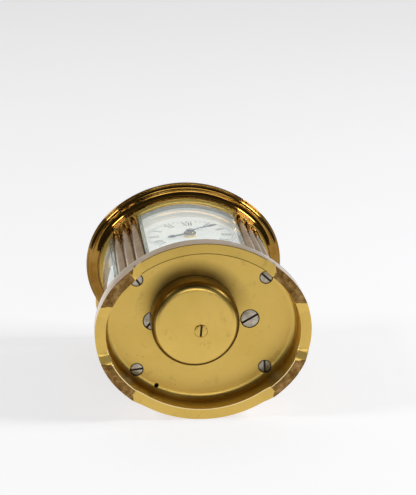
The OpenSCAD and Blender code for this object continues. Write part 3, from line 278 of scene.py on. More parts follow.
def polished_brass(name, low, high, rough_low, rough_high, stretch=(1, 1, 1), lines_depth=0.04):
    """Polished brass with drawn polishing lines and a thin, uneven tarnish."""
    material, tree, shader, where = new_material(name)
    drawn = node(tree, "Mapping", {"Vector": where, "Scale": stretch}).outputs["Vector"]
    clouds = noise(tree, where, 110, 5, 0.62)
    tone = steps(tree, clouds, (0.34, low), (0.68, high))
    spots = steps(tree, noise(tree, where, 520, 5, 0.7), (0.62, 0.0), (0.72, 0.55))
    tone = over(tree, spots, tone, (*[c * 0.45 for c in low], 1))
    shader.inputs["Metallic"].default_value = 1.0
    tree.links.new(tone, shader.inputs["Base Color"])
    tree.links.new(steps(tree, clouds, (0.3, rough_high), (0.7, rough_low)),
        shader.inputs["Roughness"])
    lines = noise(tree, drawn, 2600, 3)
    tree.links.new(bump(tree, lines, lines_depth, 0.01 * MM), shader.inputs["Normal"])
    return material


# The outline has two end arcs of end_r and two flatter arcs of flat_r. They meet at join_a.
end_r = 29.5 * MM
end_c = half_w - end_r
flat_r = (end_c ** 2 / (half_d - end_r) + end_r + half_d) / 2
flat_c = flat_r - half_d
join_a = math.atan2(flat_c, end_c)


def oval_sweep(bm, profile, closed, steps_per_arc):
    """Spins a profile of (inset, z) points round the case's oval, one arc after another."""
    start = [bm.verts.new((end_c + (end_r - d) * math.cos(join_a), (end_r - d) * math.sin(join_a), z))
        for d, z in profile]
    pairs = list(zip(start, start[1:] + start[:1])) if closed else list(zip(start, start[1:]))
    geometry = start + [bm.edges.new(pair) for pair in pairs]
    arcs = [((0, -flat_c, 0), math.pi - 2 * join_a), ((-end_c, 0, 0), 2 * join_a),
        ((0, flat_c, 0), math.pi - 2 * join_a), ((end_c, 0, 0), 2 * join_a)]
    for centre, angle in arcs:
        geometry = bmesh.ops.spin(bm, geom=geometry, cent=centre, axis=(0, 0, 1), angle=angle,
            steps=steps_per_arc, use_duplicate=False)["geom_last"]
    bmesh.ops.remove_doubles(bm, verts=bm.verts, dist=0.002 * MM)
    bmesh.ops.holes_fill(bm, edges=[e for e in bm.edges if e.is_boundary], sides=0)
    bmesh.ops.recalc_face_normals(bm, faces=bm.faces)


def arc_points(centre, r, a0, a1, count):
    """Points of an arc in a profile, from direction a0 to a1 in degrees."""
    angles = [math.radians(a0 + (a1 - a0) * i / count) for i in range(count + 1)]
    return [(centre[0] + r * math.cos(a), centre[1] + r * math.sin(a)) for a in angles]


def piece(bm, name, body, slot, *materials, sharp=35):
    """Makes an object of a bmesh: smooth, with the edges over sharp degrees kept crisp."""
    for face in bm.faces:
        face.smooth = True
    for edge in bm.edges:
        edge.smooth = len(edge.link_faces) != 2 or edge.calc_face_angle() < math.radians(sharp)
    mesh = bpy.data.meshes.new(name)
    bm.to_mesh(mesh)
    bm.free()
    made = bpy.data.objects.new(name, mesh)
    bpy.context.scene.collection.objects.link(made)
    for material in materials:
        mesh.materials.append(material)
    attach(made, body)
    return made


def soften(made, width):
    """A small bevel on the crisp edges, so that they catch the light."""
    edges = made.modifiers.new("soft_edges", "BEVEL")
    edges.width = width
    edges.segments = 2
    edges.limit_method = "ANGLE"
    edges.angle_limit = math.radians(35)
    edges.harden_normals = True


flange_h = 8.4 * MM
band_step = 0.7 * MM
ovolo_r = 1.3 * MM
fillet_w = 0.5 * MM
fillet_h = 0.3 * MM
cove_r = 2.2 * MM
neck_h = 0.7 * MM
reed_set = band_step + ovolo_r + 2 * fillet_w + cove_r


def moulding():
    """The ovolo, fillet, cove, fillet and neck above the flange, from its foot upward."""
    u1 = band_step + ovolo_r
    z2 = ovolo_r + fillet_h
    points = arc_points((u1, 0), ovolo_r, 180, 90, 12)
    points += [(u1, z2), (u1 + fillet_w, z2)]
    points += arc_points((u1 + fillet_w, z2 + cove_r), cove_r, 270, 360, 14)[1:]
    points += [(u1 + fillet_w + cove_r, z2 + cove_r + fillet_h), (reed_set, z2 + cove_r + fillet_h)]
    return points + [(reed_set, z2 + cove_r + fillet_h + neck_h)]


base_top = base_high.z
rim_t = 4 * MM
recess_h = 12.3 * MM
recess_cove_r = 2.6 * MM
flange_round = 0.6 * MM
foot_h = 1.9 * MM
ramp_l = 4 * MM
side_gap = 23 * MM
front_gap = 53 * MM
edge_w = 0.32 * MM
wall_ring_z = foot_h + 1.2 * MM
hair = 0.01 * MM
base_profile = [(rim_t + recess_cove_r, recess_h)]
base_profile += arc_points((rim_t + recess_cove_r, recess_h - recess_cove_r), recess_cove_r,
    90, 180, 12)[1:]
base_profile += [(rim_t, wall_ring_z), (rim_t, 0), (rim_t - edge_w, 0),
    (edge_w, 0), (0, 0), (0, wall_ring_z)]
base_profile += arc_points((flange_round, flange_h - flange_round), flange_round, 180, 90, 5)
base_profile += [(d, flange_h + z) for d, z in moulding()]
base_profile[-1] = (reed_set, base_top)


def inset_at(x, y):
    """How far a point lies inside the case's outline."""
    x, y = abs(x), abs(y)
    if math.atan2(y, x - end_c) < join_a:
        return end_r - math.hypot(x - end_c, y)
    return flat_r - math.hypot(x, y + flat_c)


def outward(face):
    """The case's outward direction at a face."""
    return Vector((face.center.x / half_w ** 2, face.center.y / half_d ** 2, 0)).normalized()


def rise(across, gap):
    """Height of the rim above the feet at a distance from the middle of a gap."""
    return min(1, max(0, (gap / 2 - abs(across)) / ramp_l)) * foot_h


base_mesh = bmesh.new()
oval_sweep(base_mesh, base_profile, False, 150)
for vert in base_mesh.verts:
    if vert.co.z < hair:
        at_side = abs(vert.co.x) * half_d > abs(vert.co.y) * half_w
        vert.co.z = rise(vert.co.y, side_gap) if at_side else rise(vert.co.x, front_gap)
brass_outside = polished_brass("base_outside_polish", (0.50, 0.36, 0.21), (0.64, 0.48, 0.32),
    0.14, 0.24, (0.05, 0.05, 1))
# Painted shade: a near-black material for the walls of the screw wells and the vent, and for the screw
# slots.
hollow_painted_shade, _, hollow_shade_shader, _ = new_material("hollow_painted_shade")
hollow_shade_shader.inputs["Base Color"].default_value = (0.030, 0.020, 0.010, 1)
hollow_shade_shader.inputs["Roughness"].default_value = 0.7
# Painted highlight: a brighter brass for the rim's inner edge on the +Y side.
edge_painted_highlight = polished_brass("edge_painted_highlight", (0.80, 0.64, 0.30), (0.90, 0.74, 0.40), 0.2, 0.3)
base_piece = piece(base_mesh, "base_casting", "case", "satin_brass",
    satin_brass("satin_base", worn_feet_and_bell_shade=True), brass_outside, hollow_painted_shade, edge_painted_highlight,
    satin_brass("edge_painted_shade", darkening=0.8))
SATIN, OUTSIDE, HOLLOW_SHADE, PAINTED_HIGHLIGHT, PAINTED_EDGE_SHADE = range(5)
for face in base_piece.data.polygons:
    is_outside = face.normal.dot(outward(face)) > 0.25 or face.center.z > recess_h + MM
    face.material_index = OUTSIDE if is_outside else SATIN
    inset = inset_at(*face.center.xy)
    at_inner_edge = rim_t - edge_w < inset < rim_t - hair
    if face.center.z < foot_h + hair and (inset < edge_w or at_inner_edge):
        # Painted highlight on the inner edge of the rim, on the +Y side.
        if inset > edge_w and face.center.y > 6 * MM:
            face.material_index = PAINTED_HIGHLIGHT
        # Painted shade on the rim's edges over the raised gaps, on the -Y side.
        elif face.center.y < -0.4 * half_d and face.center.z > foot_h * 0.9:
            face.material_index = PAINTED_EDGE_SHADE
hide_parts("base")


def cylinder_at(x, y, z0, z1, r):
    """A bmesh cylinder standing on z0."""
    bm = bmesh.new()
    bmesh.ops.create_cone(bm, cap_ends=True, segments=64, radius1=r, radius2=r, depth=z1 - z0,
        matrix=Matrix.Translation((x, y, (z0 + z1) / 2)))
    return bm


def cut_out(made, cutters):
    """Takes the cutters, each a bmesh, out of a piece."""
    bpy.context.view_layer.update()
    for bm in cutters:
        mesh = bpy.data.meshes.new("cutter")
        bm.to_mesh(mesh)
        bm.free()
        tool = bpy.data.objects.new("cutter", mesh)
        bpy.context.scene.collection.objects.link(tool)
        cut = made.modifiers.new("cut", "BOOLEAN")
        cut.operation = "DIFFERENCE"
        cut.solver = "EXACT"
        cut.object = tool
        shape = made.evaluated_get(bpy.context.evaluated_depsgraph_get())
        result = bpy.data.meshes.new_from_object(shape)
        made.modifiers.clear()
        old = made.data
        made.data = result
        bpy.data.meshes.remove(old)
        bpy.data.objects.remove(tool)
        bpy.data.meshes.remove(mesh)


head_gap = 0.25 * MM
small_head_r = 2.3 * MM
large_head_r = 3.4 * MM
head_room = 1.2 * MM
small_room = 0.18 * MM
vent_at = (-16.7 * MM, 24 * MM)
vent_r = 0.85 * MM
vent_h = 2 * MM
screw_low, screw_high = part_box("pillar_screws")
small_x = screw_high.x - small_head_r
small_y = screw_high.y - small_head_r
large_low, large_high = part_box("movement_screws")
large_x = large_high.x - large_head_r
large_y = (large_low.y + large_high.y) / 2
small_well_r = small_head_r + head_gap
wells = [cylinder_at(sx * small_x, sy * small_y, recess_h - recess_cove_r, recess_h + small_room,
    small_well_r) for sx in (-1, 1) for sy in (-1, 1)]
wells += [cylinder_at(sx * large_x, large_y, recess_h - MM, recess_h + head_room,
    large_head_r + head_gap) for sx in (-1, 1)]
wells += [cylinder_at(*vent_at, recess_h - MM, recess_h + vent_h, vent_r)]
cut_out(base_piece, wells)
# Painted shade on the walls of the screw wells and the vent.
for face in base_piece.data.polygons:
    x, y, z = face.center
    from_screw = math.hypot(abs(x) - small_x, abs(y) - small_y)
    in_small_well = from_screw < small_well_r + 3 * hair and z > recess_h - recess_cove_r
    above_floor = recess_h + hair < z < recess_h + vent_h + 10 * hair
    if in_small_well or above_floor and face.material_index == SATIN:
        face.material_index = HOLLOW_SHADE
soften(base_piece, 0.26 * MM)


# Bell: a cup of spun brass with a rounded edge, held by one screw on a stud in the recess.
# Its face has a satin finish, and its side has a darker copy of that brass as painted shade.
bell_low, bell_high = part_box("bell")
bell_at = (bell_low + bell_high) / 2
bell_r = (bell_high.x - bell_low.x) / 2
bell_t = 1.3 * MM
bell_round = 3.2 * MM
stud_at = (-1 * MM, -0.5 * MM)


def turned(bm, profile, at, count):
    """Spins a profile of (radius, z) points about the upright axis at a place, in count steps."""
    start = [bm.verts.new((at[0] + r, at[1], z)) for r, z in profile]
    edges = [bm.edges.new(pair) for pair in zip(start, start[1:])]
    bmesh.ops.spin(bm, geom=start + edges, cent=(at[0], at[1], 0), axis=(0, 0, 1),
        angle=2 * math.pi, steps=count, use_merge=True, use_duplicate=False)
    bmesh.ops.remove_doubles(bm, verts=bm.verts, dist=0.001 * MM)
    bmesh.ops.recalc_face_normals(bm, faces=bm.faces)


inner_round = bell_round - bell_t
bell_profile = [(0, bell_low.z)]
bell_profile += arc_points((bell_r - bell_round, bell_low.z + bell_round), bell_round, -90, 0, 14)
bell_profile += [(bell_r, bell_high.z), (bell_r - bell_t, bell_high.z)]
bell_profile += arc_points((bell_r - bell_t - inner_round, bell_low.z + bell_t + inner_round),
    inner_round, 0, -90, 8)
bell_profile += [(0, bell_low.z + bell_t)]
bell_mesh = bmesh.new()
turned(bell_mesh, bell_profile, bell_at, 160)
SHADED_SIDE = 1
bell_piece = piece(bell_mesh, "bell_cup", "case", "satin_brass", satin_brass("satin_bell", shine=0.28),
    satin_brass("bell_side_painted_shade", shine=0.30, darkening=0.72))
# Painted shade: faces turned more than about 33 degrees from the face get the dark copy.
for face in bell_piece.data.polygons:
    face.material_index = SHADED_SIDE if face.normal.z > -0.84 else 0
cut_out(bell_piece, [cylinder_at(*stud_at, bell_low.z - MM, bell_low.z + 0.5 * MM, small_well_r)])
soften(bell_piece, 0.12 * MM)
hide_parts("bell")


# Screws: turned steel with saw-cut slots, which stand at the angles of the photograph. The
# bell's own screw is brass.
def steel(name, low, high, rough, scratches=0.25):
    """Steel with turning marks and fine rust."""
    material, tree, shader, where = new_material(name)
    clouds = noise(tree, where, 420, 5, 0.65)
    tone = steps(tree, clouds, (0.35, low), (0.62, high))
    rust = steps(tree, noise(tree, where, 1300, 4, 0.7), (0.60, 0.0), (0.72, 0.7))
    tone = over(tree, rust, tone, (*[c * 0.35 for c in low], 1))
    shader.inputs["Metallic"].default_value = 1.0
    shader.inputs["Roughness"].default_value = rough
    tree.links.new(tone, shader.inputs["Base Color"])
    turned_lines = noise(tree, where, 5200, 2)
    tree.links.new(bump(tree, turned_lines, scratches, 0.02 * MM), shader.inputs["Normal"])
    return material


def dress(name, material):
    """Gives a CAD node its finish."""
    slots = nodes[name].data.materials
    slots.clear()
    slots.append(material)


def join_into(bm, part):
    """Moves the bmesh part into bm."""
    mesh = bpy.data.meshes.new("part")
    part.to_mesh(mesh)
    part.free()
    bm.from_mesh(mesh)
    bpy.data.meshes.remove(mesh)


head_h = 1.1 * MM
head_edge = 0.22 * MM
slot_w = 0.8 * MM
slot_h = 0.6 * MM


def slotted_screws(name, node_name, slot, finish, places, z, head_r, shank_r, top):
    """Screws with their heads down at z, at places given as (x, y, slot angle in degrees)."""
    bm = bmesh.new()
    head = [(0, z), (head_r - head_edge, z)]
    head += arc_points((head_r - head_edge, z + head_edge), head_edge, -60, 0, 4)
    shank = [(head_r, z + head_h), (shank_r, z + head_h), (shank_r, top), (0, top)]
    for x, y, _ in places:
        screw = bmesh.new()
        turned(screw, head + shank, (x, y), 56)
        join_into(bm, screw)
    made = piece(bm, name, "case", slot, finish, hollow_painted_shade)
    saw_cuts = []
    for x, y, angle in places:
        cutter = bmesh.new()
        place = Matrix.Translation((x, y, z)) @ Matrix.Rotation(math.radians(angle), 4, "Z")
        bmesh.ops.create_cube(cutter, size=1,
            matrix=place @ Matrix.Diagonal((3 * head_r, slot_w, 2 * slot_h, 1)))
        saw_cuts.append(cutter)
    cut_out(made, saw_cuts)
    # Painted shade: faces in the slots get the near-black material.
    for face in made.data.polygons:
        from_axis = min(math.hypot(face.center.x - x, face.center.y - y) for x, y, _ in places)
        in_slot = z + 0.3 * slot_h < face.center.z < z + slot_h + hair
        if in_slot and from_axis < head_r - 5 * hair:
            face.material_index = 1
    soften(made, 0.06 * MM)
    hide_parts(node_name)


screw_steel = steel("screw_steel", (0.30, 0.26, 0.19), (0.52, 0.47, 0.38), 0.30)
for name in ("cornice_screws", "plate_screws", "bell_stud"):
    dress(name, screw_steel)
slotted_screws("pillar_screw_set", "pillar_screws", "screw_steel", screw_steel,
    [(small_x, small_y, 88), (-small_x, small_y, -8), (small_x, -small_y, 42), (-small_x, -small_y, 55)],
    screw_low.z, small_head_r, 1.2 * MM, screw_high.z)
slotted_screws("movement_screw_pair", "movement_screws", "screw_steel", screw_steel,
    [(large_x, large_y, -30), (-large_x, large_y, -50)],
    large_low.z, large_head_r, 1.8 * MM, large_high.z)
fittings_brass = polished_brass("fittings_polish", (0.62, 0.42, 0.15), (0.78, 0.56, 0.22), 0.14, 0.26)
bell_screw_low, bell_screw_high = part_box("bell_screw")
slotted_screws("bell_screw_turned", "bell_screw", "polished_brass", satin_brass("satin_screw"),
    [(*stud_at, 95)], bell_screw_low.z, small_head_r, 1.15 * MM, bell_screw_high.z)


# Pillars: each is one drawn bar of brass with three reeds, whose ends are rounded over and
# stand on short necks. Their polish has gone brown with age.
reed_r = 2.25 * MM
reed_pitch = 4.4 * MM
reed_d = reed_set + reed_r
reed_neck_r = 1.9 * MM
core_d = reed_d + 0.3 * MM
inner_d = reed_d + 2.3 * MM
ledge_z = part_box("cornice")[0].z
glass_gap = 0.15 * MM
join_s = (end_r - reed_d) * join_a


def direction_at(s):
    """Direction on the oval at an arc length from its widest point."""
    if s < join_s:
        return s / (end_r - reed_d)
    return join_a + (s - join_s) / (flat_r - reed_d)


def on_oval(a, inset):
    """The point at an inset from the outline in direction a, in the rear right quarter."""
    if a < join_a:
        return Vector((end_c + (end_r - inset) * math.cos(a), (end_r - inset) * math.sin(a), 0))
    return Vector(((flat_r - inset) * math.cos(a), (flat_r - inset) * math.sin(a) - flat_c, 0))


pillar_s = join_s + 2.8 * MM
pillar_a0 = direction_at(pillar_s - 1.5 * reed_pitch)
pillar_a1 = direction_at(pillar_s + 1.5 * reed_pitch)


def slab_sweep(bm, low, high, inset0, inset1, spans):
    """A wall between two insets; spans are (centre, radius, from, to), end to end."""
    centre, r, a, _ = spans[0]
    corners = [(r - inset1, low), (r - inset0, low), (r - inset0, high), (r - inset1, high)]
    start = [bm.verts.new((centre[0] + q * math.cos(a), centre[1] + q * math.sin(a), z))
        for q, z in corners]
    geometry = start + [bm.edges.new(pair) for pair in zip(start, start[1:] + start[:1])]
    for centre, r, a0, a1 in spans:
        geometry = bmesh.ops.spin(bm, geom=geometry, cent=(centre[0], centre[1], 0), axis=(0, 0, 1),
            angle=a1 - a0, steps=max(4, round(abs(a1 - a0) * 40)), use_duplicate=False)["geom_last"]
    bmesh.ops.holes_fill(bm, edges=[e for e in bm.edges if e.is_boundary], sides=0)
    bmesh.ops.recalc_face_normals(bm, faces=bm.faces)


round_z = reed_r + 0.15 * MM
neck_z = round_z - math.sqrt(reed_r ** 2 - reed_neck_r ** 2)
neck_a = math.degrees(math.asin((round_z - neck_z) / reed_r))
reed_profile = [(0, base_top), (reed_neck_r, base_top)]
reed_profile += arc_points((0, base_top + round_z), reed_r, -neck_a, 0, 10)
reed_profile += arc_points((0, ledge_z - round_z), reed_r, 0, neck_a, 10)
reed_profile += [(reed_neck_r, ledge_z), (0, ledge_z)]
pillar_brass = polished_brass("pillar_polish", (0.31, 0.185, 0.060), (0.45, 0.29, 0.130), 0.12, 0.19,
    (1, 1, 0.03))
for name, sx, sy in (("pillar_front_right", 1, -1), ("pillar_front_left", -1, -1),
        ("pillar_rear_right", 1, 1), ("pillar_rear_left", -1, 1)):
    bm = bmesh.new()
    slab_sweep(bm, base_top, ledge_z, core_d, inner_d, [((end_c, 0), end_r, pillar_a0, join_a),
        ((0, -flat_c), flat_r, join_a, pillar_a1)])
    for k in (-1, 0, 1):
        reed = bmesh.new()
        turned(reed, reed_profile, on_oval(direction_at(pillar_s + k * reed_pitch), reed_d), 40)
        join_into(bm, reed)
    bmesh.ops.scale(bm, vec=(sx, sy, 1), verts=bm.verts)
    if sx * sy < 0:
        bmesh.ops.reverse_faces(bm, faces=bm.faces)
    pillar = piece(bm, name + "_bar", "case", "warm_brass", pillar_brass)
    soften(pillar, 0.12 * MM)
    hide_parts(name)


# Cornice: the same moulding turned over, with an oval opening that widens downward and a seat
# for the top glass. It has the deepest polish and mirrors the dark room.
top_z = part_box("cornice")[1].z
opening_set = 11 * MM
seat_d = 10 * MM
seat_z = ledge_z + 2.8 * MM
band_round = 0.4 * MM
member_h = ovolo_r + 2 * fillet_h + cove_r + neck_h
splay_w = 1.8 * MM
splay_h = 2 * MM
cornice_profile = [(d, ledge_z + member_h - z) for d, z in reversed(moulding())]
cornice_profile += arc_points((band_round, ledge_z + member_h + band_round), band_round, 270, 180, 5)
cornice_profile += arc_points((band_round, top_z - band_round), band_round, 180, 90, 5)
cornice_profile += [(seat_d, top_z), (seat_d, seat_z), (opening_set, seat_z),
    (opening_set, ledge_z + splay_h), (opening_set - splay_w, ledge_z)]
cornice_mesh = bmesh.new()
oval_sweep(cornice_mesh, cornice_profile, True, 110)
cornice_brass = polished_brass("cornice_polish", (0.26, 0.130, 0.020), (0.37, 0.21, 0.050), 0.07, 0.12,
    lines_depth=0.008)
cornice_piece = piece(cornice_mesh, "cornice_moulding", "case", "polished_brass", cornice_brass,
    satin_brass("satin_cornice"))
SATIN_UNDERSIDE = 1
for face in cornice_piece.data.polygons:
    faces_in = face.normal.dot(outward(face)) < -0.2
    if face.center.z < ledge_z + (splay_h if faces_in else hair):
        face.material_index = SATIN_UNDERSIDE
soften(cornice_piece, 0.12 * MM)
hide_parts("cornice")

bezel_low, bezel_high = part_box("top_bezel")
bezel_set = half_w - bezel_high.x
skirt_d = seat_d + glass_gap
outer_r = 0.5 * MM
inner_r = 1.2 * MM
bezel_profile = [(bezel_set, top_z), (bezel_set, bezel_high.z - outer_r)]
bezel_profile += arc_points((bezel_set + outer_r, bezel_high.z - outer_r), outer_r, 180, 90, 5)[1:]
bezel_profile += arc_points((opening_set - inner_r, bezel_high.z - inner_r), inner_r, 90, 0, 8)
bezel_profile += [(opening_set, bezel_low.z), (skirt_d, bezel_low.z), (skirt_d, top_z)]
bezel_mesh = bmesh.new()
oval_sweep(bezel_mesh, bezel_profile, True, 100)
bezel_piece = piece(bezel_mesh, "top_bezel_ring", "case", "polished_brass", fittings_brass)
soften(bezel_piece, 0.1 * MM)
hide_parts("top_bezel")


# Glasses: bent panes of clear glass, bevelled all round, with ground edges that look faintly
# green, and a flat oval pane with a broad bevel in the top.
def clear_glass(name, tint=(0.975, 0.99, 0.98), rough=0.03, cloud=0.0):
    """Glass with a faint ripple and smears; cloud is the share that looks ground."""
    material = bpy.data.materials.new(name)
    material.use_nodes = True
    tree = material.node_tree
    tree.nodes.clear()
    where = node(tree, "TexCoord").outputs["Object"]
    ripple = noise(tree, where, 60, 1)
    normal = bump(tree, ripple, 0.05, 0.05 * MM)
    smear = steps(tree, noise(tree, where, 130, 4), (0.45, rough / 6), (0.8, rough))
    pane = node(tree, "BsdfGlass", {"Color": (*tint, 1), "Roughness": smear, "IOR": 1.5,
        "Normal": normal})
    haze = node(tree, "BsdfDiffuse", {"Color": (*[c * 0.42 for c in tint], 1)})
    pane = node(tree, "MixShader", {0: cloud, 1: pane.outputs[0], 2: haze.outputs[0]})
    clear = node(tree, "BsdfTransparent", {"Color": (*tint, 1)})
    ray = node(tree, "LightPath")
    dim = node(tree, "Math", {0: ray.outputs["Is Shadow Ray"], 1: ray.outputs["Is Diffuse Ray"]},
        operation="MAXIMUM")
    mixed = node(tree, "MixShader", {0: dim.outputs[0], 1: pane.outputs[0], 2: clear.outputs[0]})
    tree.links.new(mixed.outputs[0], node(tree, "OutputMaterial").inputs["Surface"])
    return material


glass_d = reed_set + 0.65 * MM
glass_t = 2.2 * MM
pane_bevel = 1.6 * MM
pane_top_bevel = 3.8 * MM
bevel_drop = 0.5 * MM
BEVEL, GROUND_EDGE = 1, 2


def bent_pane(bm, centre, r_out, a0, a1, z0, z1):
    """A bent pane whose outer face is bevelled along its four edges."""
    count = 40
    step = pane_bevel / r_out
    angles = [a0] + [a0 + step + (a1 - a0 - 2 * step) * i / count for i in range(count + 1)] + [a1]
    heights = [z0, z0 + pane_bevel, z1 - pane_top_bevel, z1]
    sheets = []
    for outer in (True, False):
        rows = []
        for j, z in enumerate(heights):
            row = []
            for i, a in enumerate(angles):
                edge = i in (0, len(angles) - 1) or j in (0, 3)
                q = (r_out - bevel_drop if edge else r_out) if outer else r_out - glass_t
                row.append(bm.verts.new((centre[0] + q * math.cos(a), centre[1] + q * math.sin(a), z)))
            rows.append(row)
        for low, high in zip(rows, rows[1:]):
            for i in range(len(angles) - 1):
                face = bm.faces.new((low[i], low[i + 1], high[i + 1], high[i]))
                if outer and (i in (0, len(angles) - 2) or low is not rows[1]):
                    face.material_index = BEVEL
        sheets.append([rows[0][i] for i in range(len(angles))] + [rows[j][-1] for j in (1, 2)]
            + [rows[3][i] for i in range(len(angles) - 1, -1, -1)] + [rows[j][0] for j in (2, 1)])
    for i in range(len(sheets[0])):
        k = (i + 1) % len(sheets[0])
        side = bm.faces.new((sheets[0][i], sheets[0][k], sheets[1][k], sheets[1][i]))
        side.material_index = GROUND_EDGE
    bmesh.ops.recalc_face_normals(bm, faces=bm.faces)


pane_glass = clear_glass("pane_glass")
bevel_glass = clear_glass("bevel_glass", (0.80, 0.84, 0.77), 0.08, cloud=0.4)
edge_glass, edge_tree, edge_shader, edge_at = new_material("edge_glass")
edge_tone = steps(edge_tree, noise(edge_tree, edge_at, 300), (0.3, (0.46, 0.51, 0.40)),
    (0.7, (0.60, 0.66, 0.56)))
edge_tree.links.new(edge_tone, edge_shader.inputs["Base Color"])
edge_shader.inputs["Roughness"].default_value = 0.3
edge_shader.inputs["Transmission Weight"].default_value = 0.3
spare_a = math.radians(0.3)
side_a = pillar_a0 - glass_gap / (end_r - reed_d) - spare_a
front_a = math.pi / 2 - pillar_a1 - glass_gap / (flat_r - reed_d) - spare_a
pane_low, pane_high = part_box("front_glass")
for name, centre, r, middle, half in (("front_glass", (0, flat_c), flat_r, -math.pi / 2, front_a),
        ("right_glass", (end_c, 0), end_r, 0, side_a), ("left_glass", (-end_c, 0), end_r, math.pi, side_a)):
    bm = bmesh.new()
    bent_pane(bm, centre, r - glass_d, middle - half, middle + half, pane_low.z, pane_high.z)
    pane = piece(bm, name + "_pane", "case", "crystal", pane_glass, bevel_glass, edge_glass, sharp=12)
    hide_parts(name)
top_pane_low, top_pane_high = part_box("top_glass")
bevel_h = 1.2 * MM
bevel_w = 4.5 * MM
top_profile = [(skirt_d, top_pane_low.z), (skirt_d, top_pane_high.z - bevel_h),
    (skirt_d + bevel_w, top_pane_high.z)]
top_mesh = bmesh.new()
oval_sweep(top_mesh, top_profile, False, 60)
top_pane = piece(top_mesh, "top_glass_pane", "case", "crystal", pane_glass,
    clear_glass("top_bevel_glass", (0.50, 0.51, 0.47), 0.12), sharp=8)
for face in top_pane.data.polygons:
    face.material_index = BEVEL if 0.1 < face.normal.z < 0.99 else 0
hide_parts("top_glass")


# Handle: a folding brass bail with a swelled grip, on two turned posts with shouldered pins.
# The solids have its whole shape, so it only gets its finish here.
for name in ("handle", "handle_posts", "handle_pivots"):
    dress(name, fittings_brass)


# Rear door: a bent brass frame with its own pane, a hinge post at one side and a knob. The
# frame has the finish of the pillars beside it.
dress("rear_door_frame", pillar_brass)
dress("rear_door_knob", fittings_brass)
dress("rear_door_glass", pane_glass)


# Dial: a white enamelled plate. Its hour numerals, minute track and alarm circle are fired
# on in black, and the steel hands are blued.
def enamel(name, colour, glow=0.0):
    """Fired enamel under a thin coat; glow makes up for the light that the panes take."""
    material, tree, shader, where = new_material(name)
    clouds = noise(tree, where, 60, 4)
    tone = steps(tree, clouds, (0.3, tuple(c * 0.96 for c in colour)), (0.7, colour))
    shader.inputs["Roughness"].default_value = 0.28
    shader.inputs["Coat Weight"].default_value = 0.4
    shader.inputs["Coat Roughness"].default_value = 0.08
    if glow:
        shader.inputs["Emission Color"].default_value = (1, 1, 0.99, 1)
        shader.inputs["Emission Strength"].default_value = glow
    tree.links.new(tone, shader.inputs["Base Color"])
    tree.links.new(bump(tree, noise(tree, where, 700, 2), 0.05, 0.02 * MM), shader.inputs["Normal"])
    return material


dress("dial", enamel("dial_enamel", (0.94, 0.95, 0.93), glow=0.5))
blued = steel("blued_steel", (0.10, 0.13, 0.19), (0.22, 0.27, 0.36), 0.28, 0.1)
for name in ("minute_hand", "hour_hand", "alarm_hand", "regulator"):
    dress(name, blued)
dial_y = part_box("dial")[0].y
print_t = 0.04 * MM
hour_low, hour_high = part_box("hour_wheel")
hub = Vector(((hour_low.x + hour_high.x) / 2, dial_y, (hour_low.z + hour_high.z) / 2))
knob_low, knob_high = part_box("alarm_knob")
alarm_hub = Vector(((knob_low.x + knob_high.x) / 2, dial_y, (knob_low.z + knob_high.z) / 2))


def stroke(bm, start, end, width):
    """A flat bar between two points in the dial's plane, with the thickness of the print."""
    a, b = Vector((start[0], 0, start[1])), Vector((end[0], 0, end[1]))
    side = Vector((-(b - a).z, 0, (b - a).x)).normalized() * width / 2
    face = bm.faces.new([bm.verts.new(p) for p in (a - side, b - side, b + side, a + side)])
    grown = bmesh.ops.extrude_face_region(bm, geom=[face])["geom"]
    moved = [g for g in grown if isinstance(g, bmesh.types.BMVert)]
    bmesh.ops.translate(bm, vec=(0, -print_t, 0), verts=moved)
    return moved + list(face.verts)


glyph_w = {"I": 0.9, "V": 2.1, "X": 2.1}
thick, thin = 0.42, 0.16
glyph_side = 0.22
serif_side = 0.05


def numeral(bm, text, h, turn, at, r):
    """A Roman numeral of height h in mm, at radius r in direction turn, clockwise from the top."""
    width = sum(glyph_w[c] for c in text)
    x = -width / 2
    verts = []
    for glyph in text:
        w = glyph_w[glyph]
        left, right = x + glyph_side, x + w - glyph_side
        if glyph == "I":
            verts += stroke(bm, (x + w / 2, -h / 2), (x + w / 2, h / 2), thick)
        elif glyph == "V":
            verts += stroke(bm, (left, h / 2), (x + w / 2, -h / 2), thick)
            verts += stroke(bm, (right, h / 2), (x + w / 2, -h / 2), thin)
        else:
            verts += stroke(bm, (left, h / 2), (right, -h / 2), thick)
            verts += stroke(bm, (right, h / 2), (left, -h / 2), thin)
        ends = [-h / 2, h / 2] if glyph != "V" else [h / 2]
        for z in ends:
            verts += stroke(bm, (x + serif_side, z), (x + w - serif_side, z), thin)
        x += w
    spot = Matrix.Translation(at) @ Matrix.Rotation(turn, 4, "Y") @ Matrix.Translation((0, 0, r))
    bmesh.ops.transform(bm, matrix=spot @ Matrix.Scale(MM, 4), verts=list(set(verts)))


def onto_dial(bm, at, verts):
    """Brings points drawn in mm round the origin to their place on the dial."""
    bmesh.ops.transform(bm, matrix=Matrix.Translation(at) @ Matrix.Scale(MM, 4), verts=list(set(verts)))


def circle_line(bm, at, r, width):
    """A printed ring of radius r in mm."""
    verts = []
    count = 90
    for i in range(count):
        a, b = (2 * math.pi * k / count for k in (i, i + 1.02))
        verts += stroke(bm, (r * math.sin(a), r * math.cos(a)), (r * math.sin(b), r * math.cos(b)), width)
    onto_dial(bm, at, verts)


def ticks(bm, at, r0, r1, count, width, wide=None):
    """Marks between two radii in mm; wide is the width of every fifth one."""
    verts = []
    for i in range(count):
        a = 2 * math.pi * i / count
        w = wide if wide and i % 5 == 0 else width
        verts += stroke(bm, (r0 * math.sin(a), r0 * math.cos(a)), (r1 * math.sin(a), r1 * math.cos(a)), w)
    onto_dial(bm, at, verts)


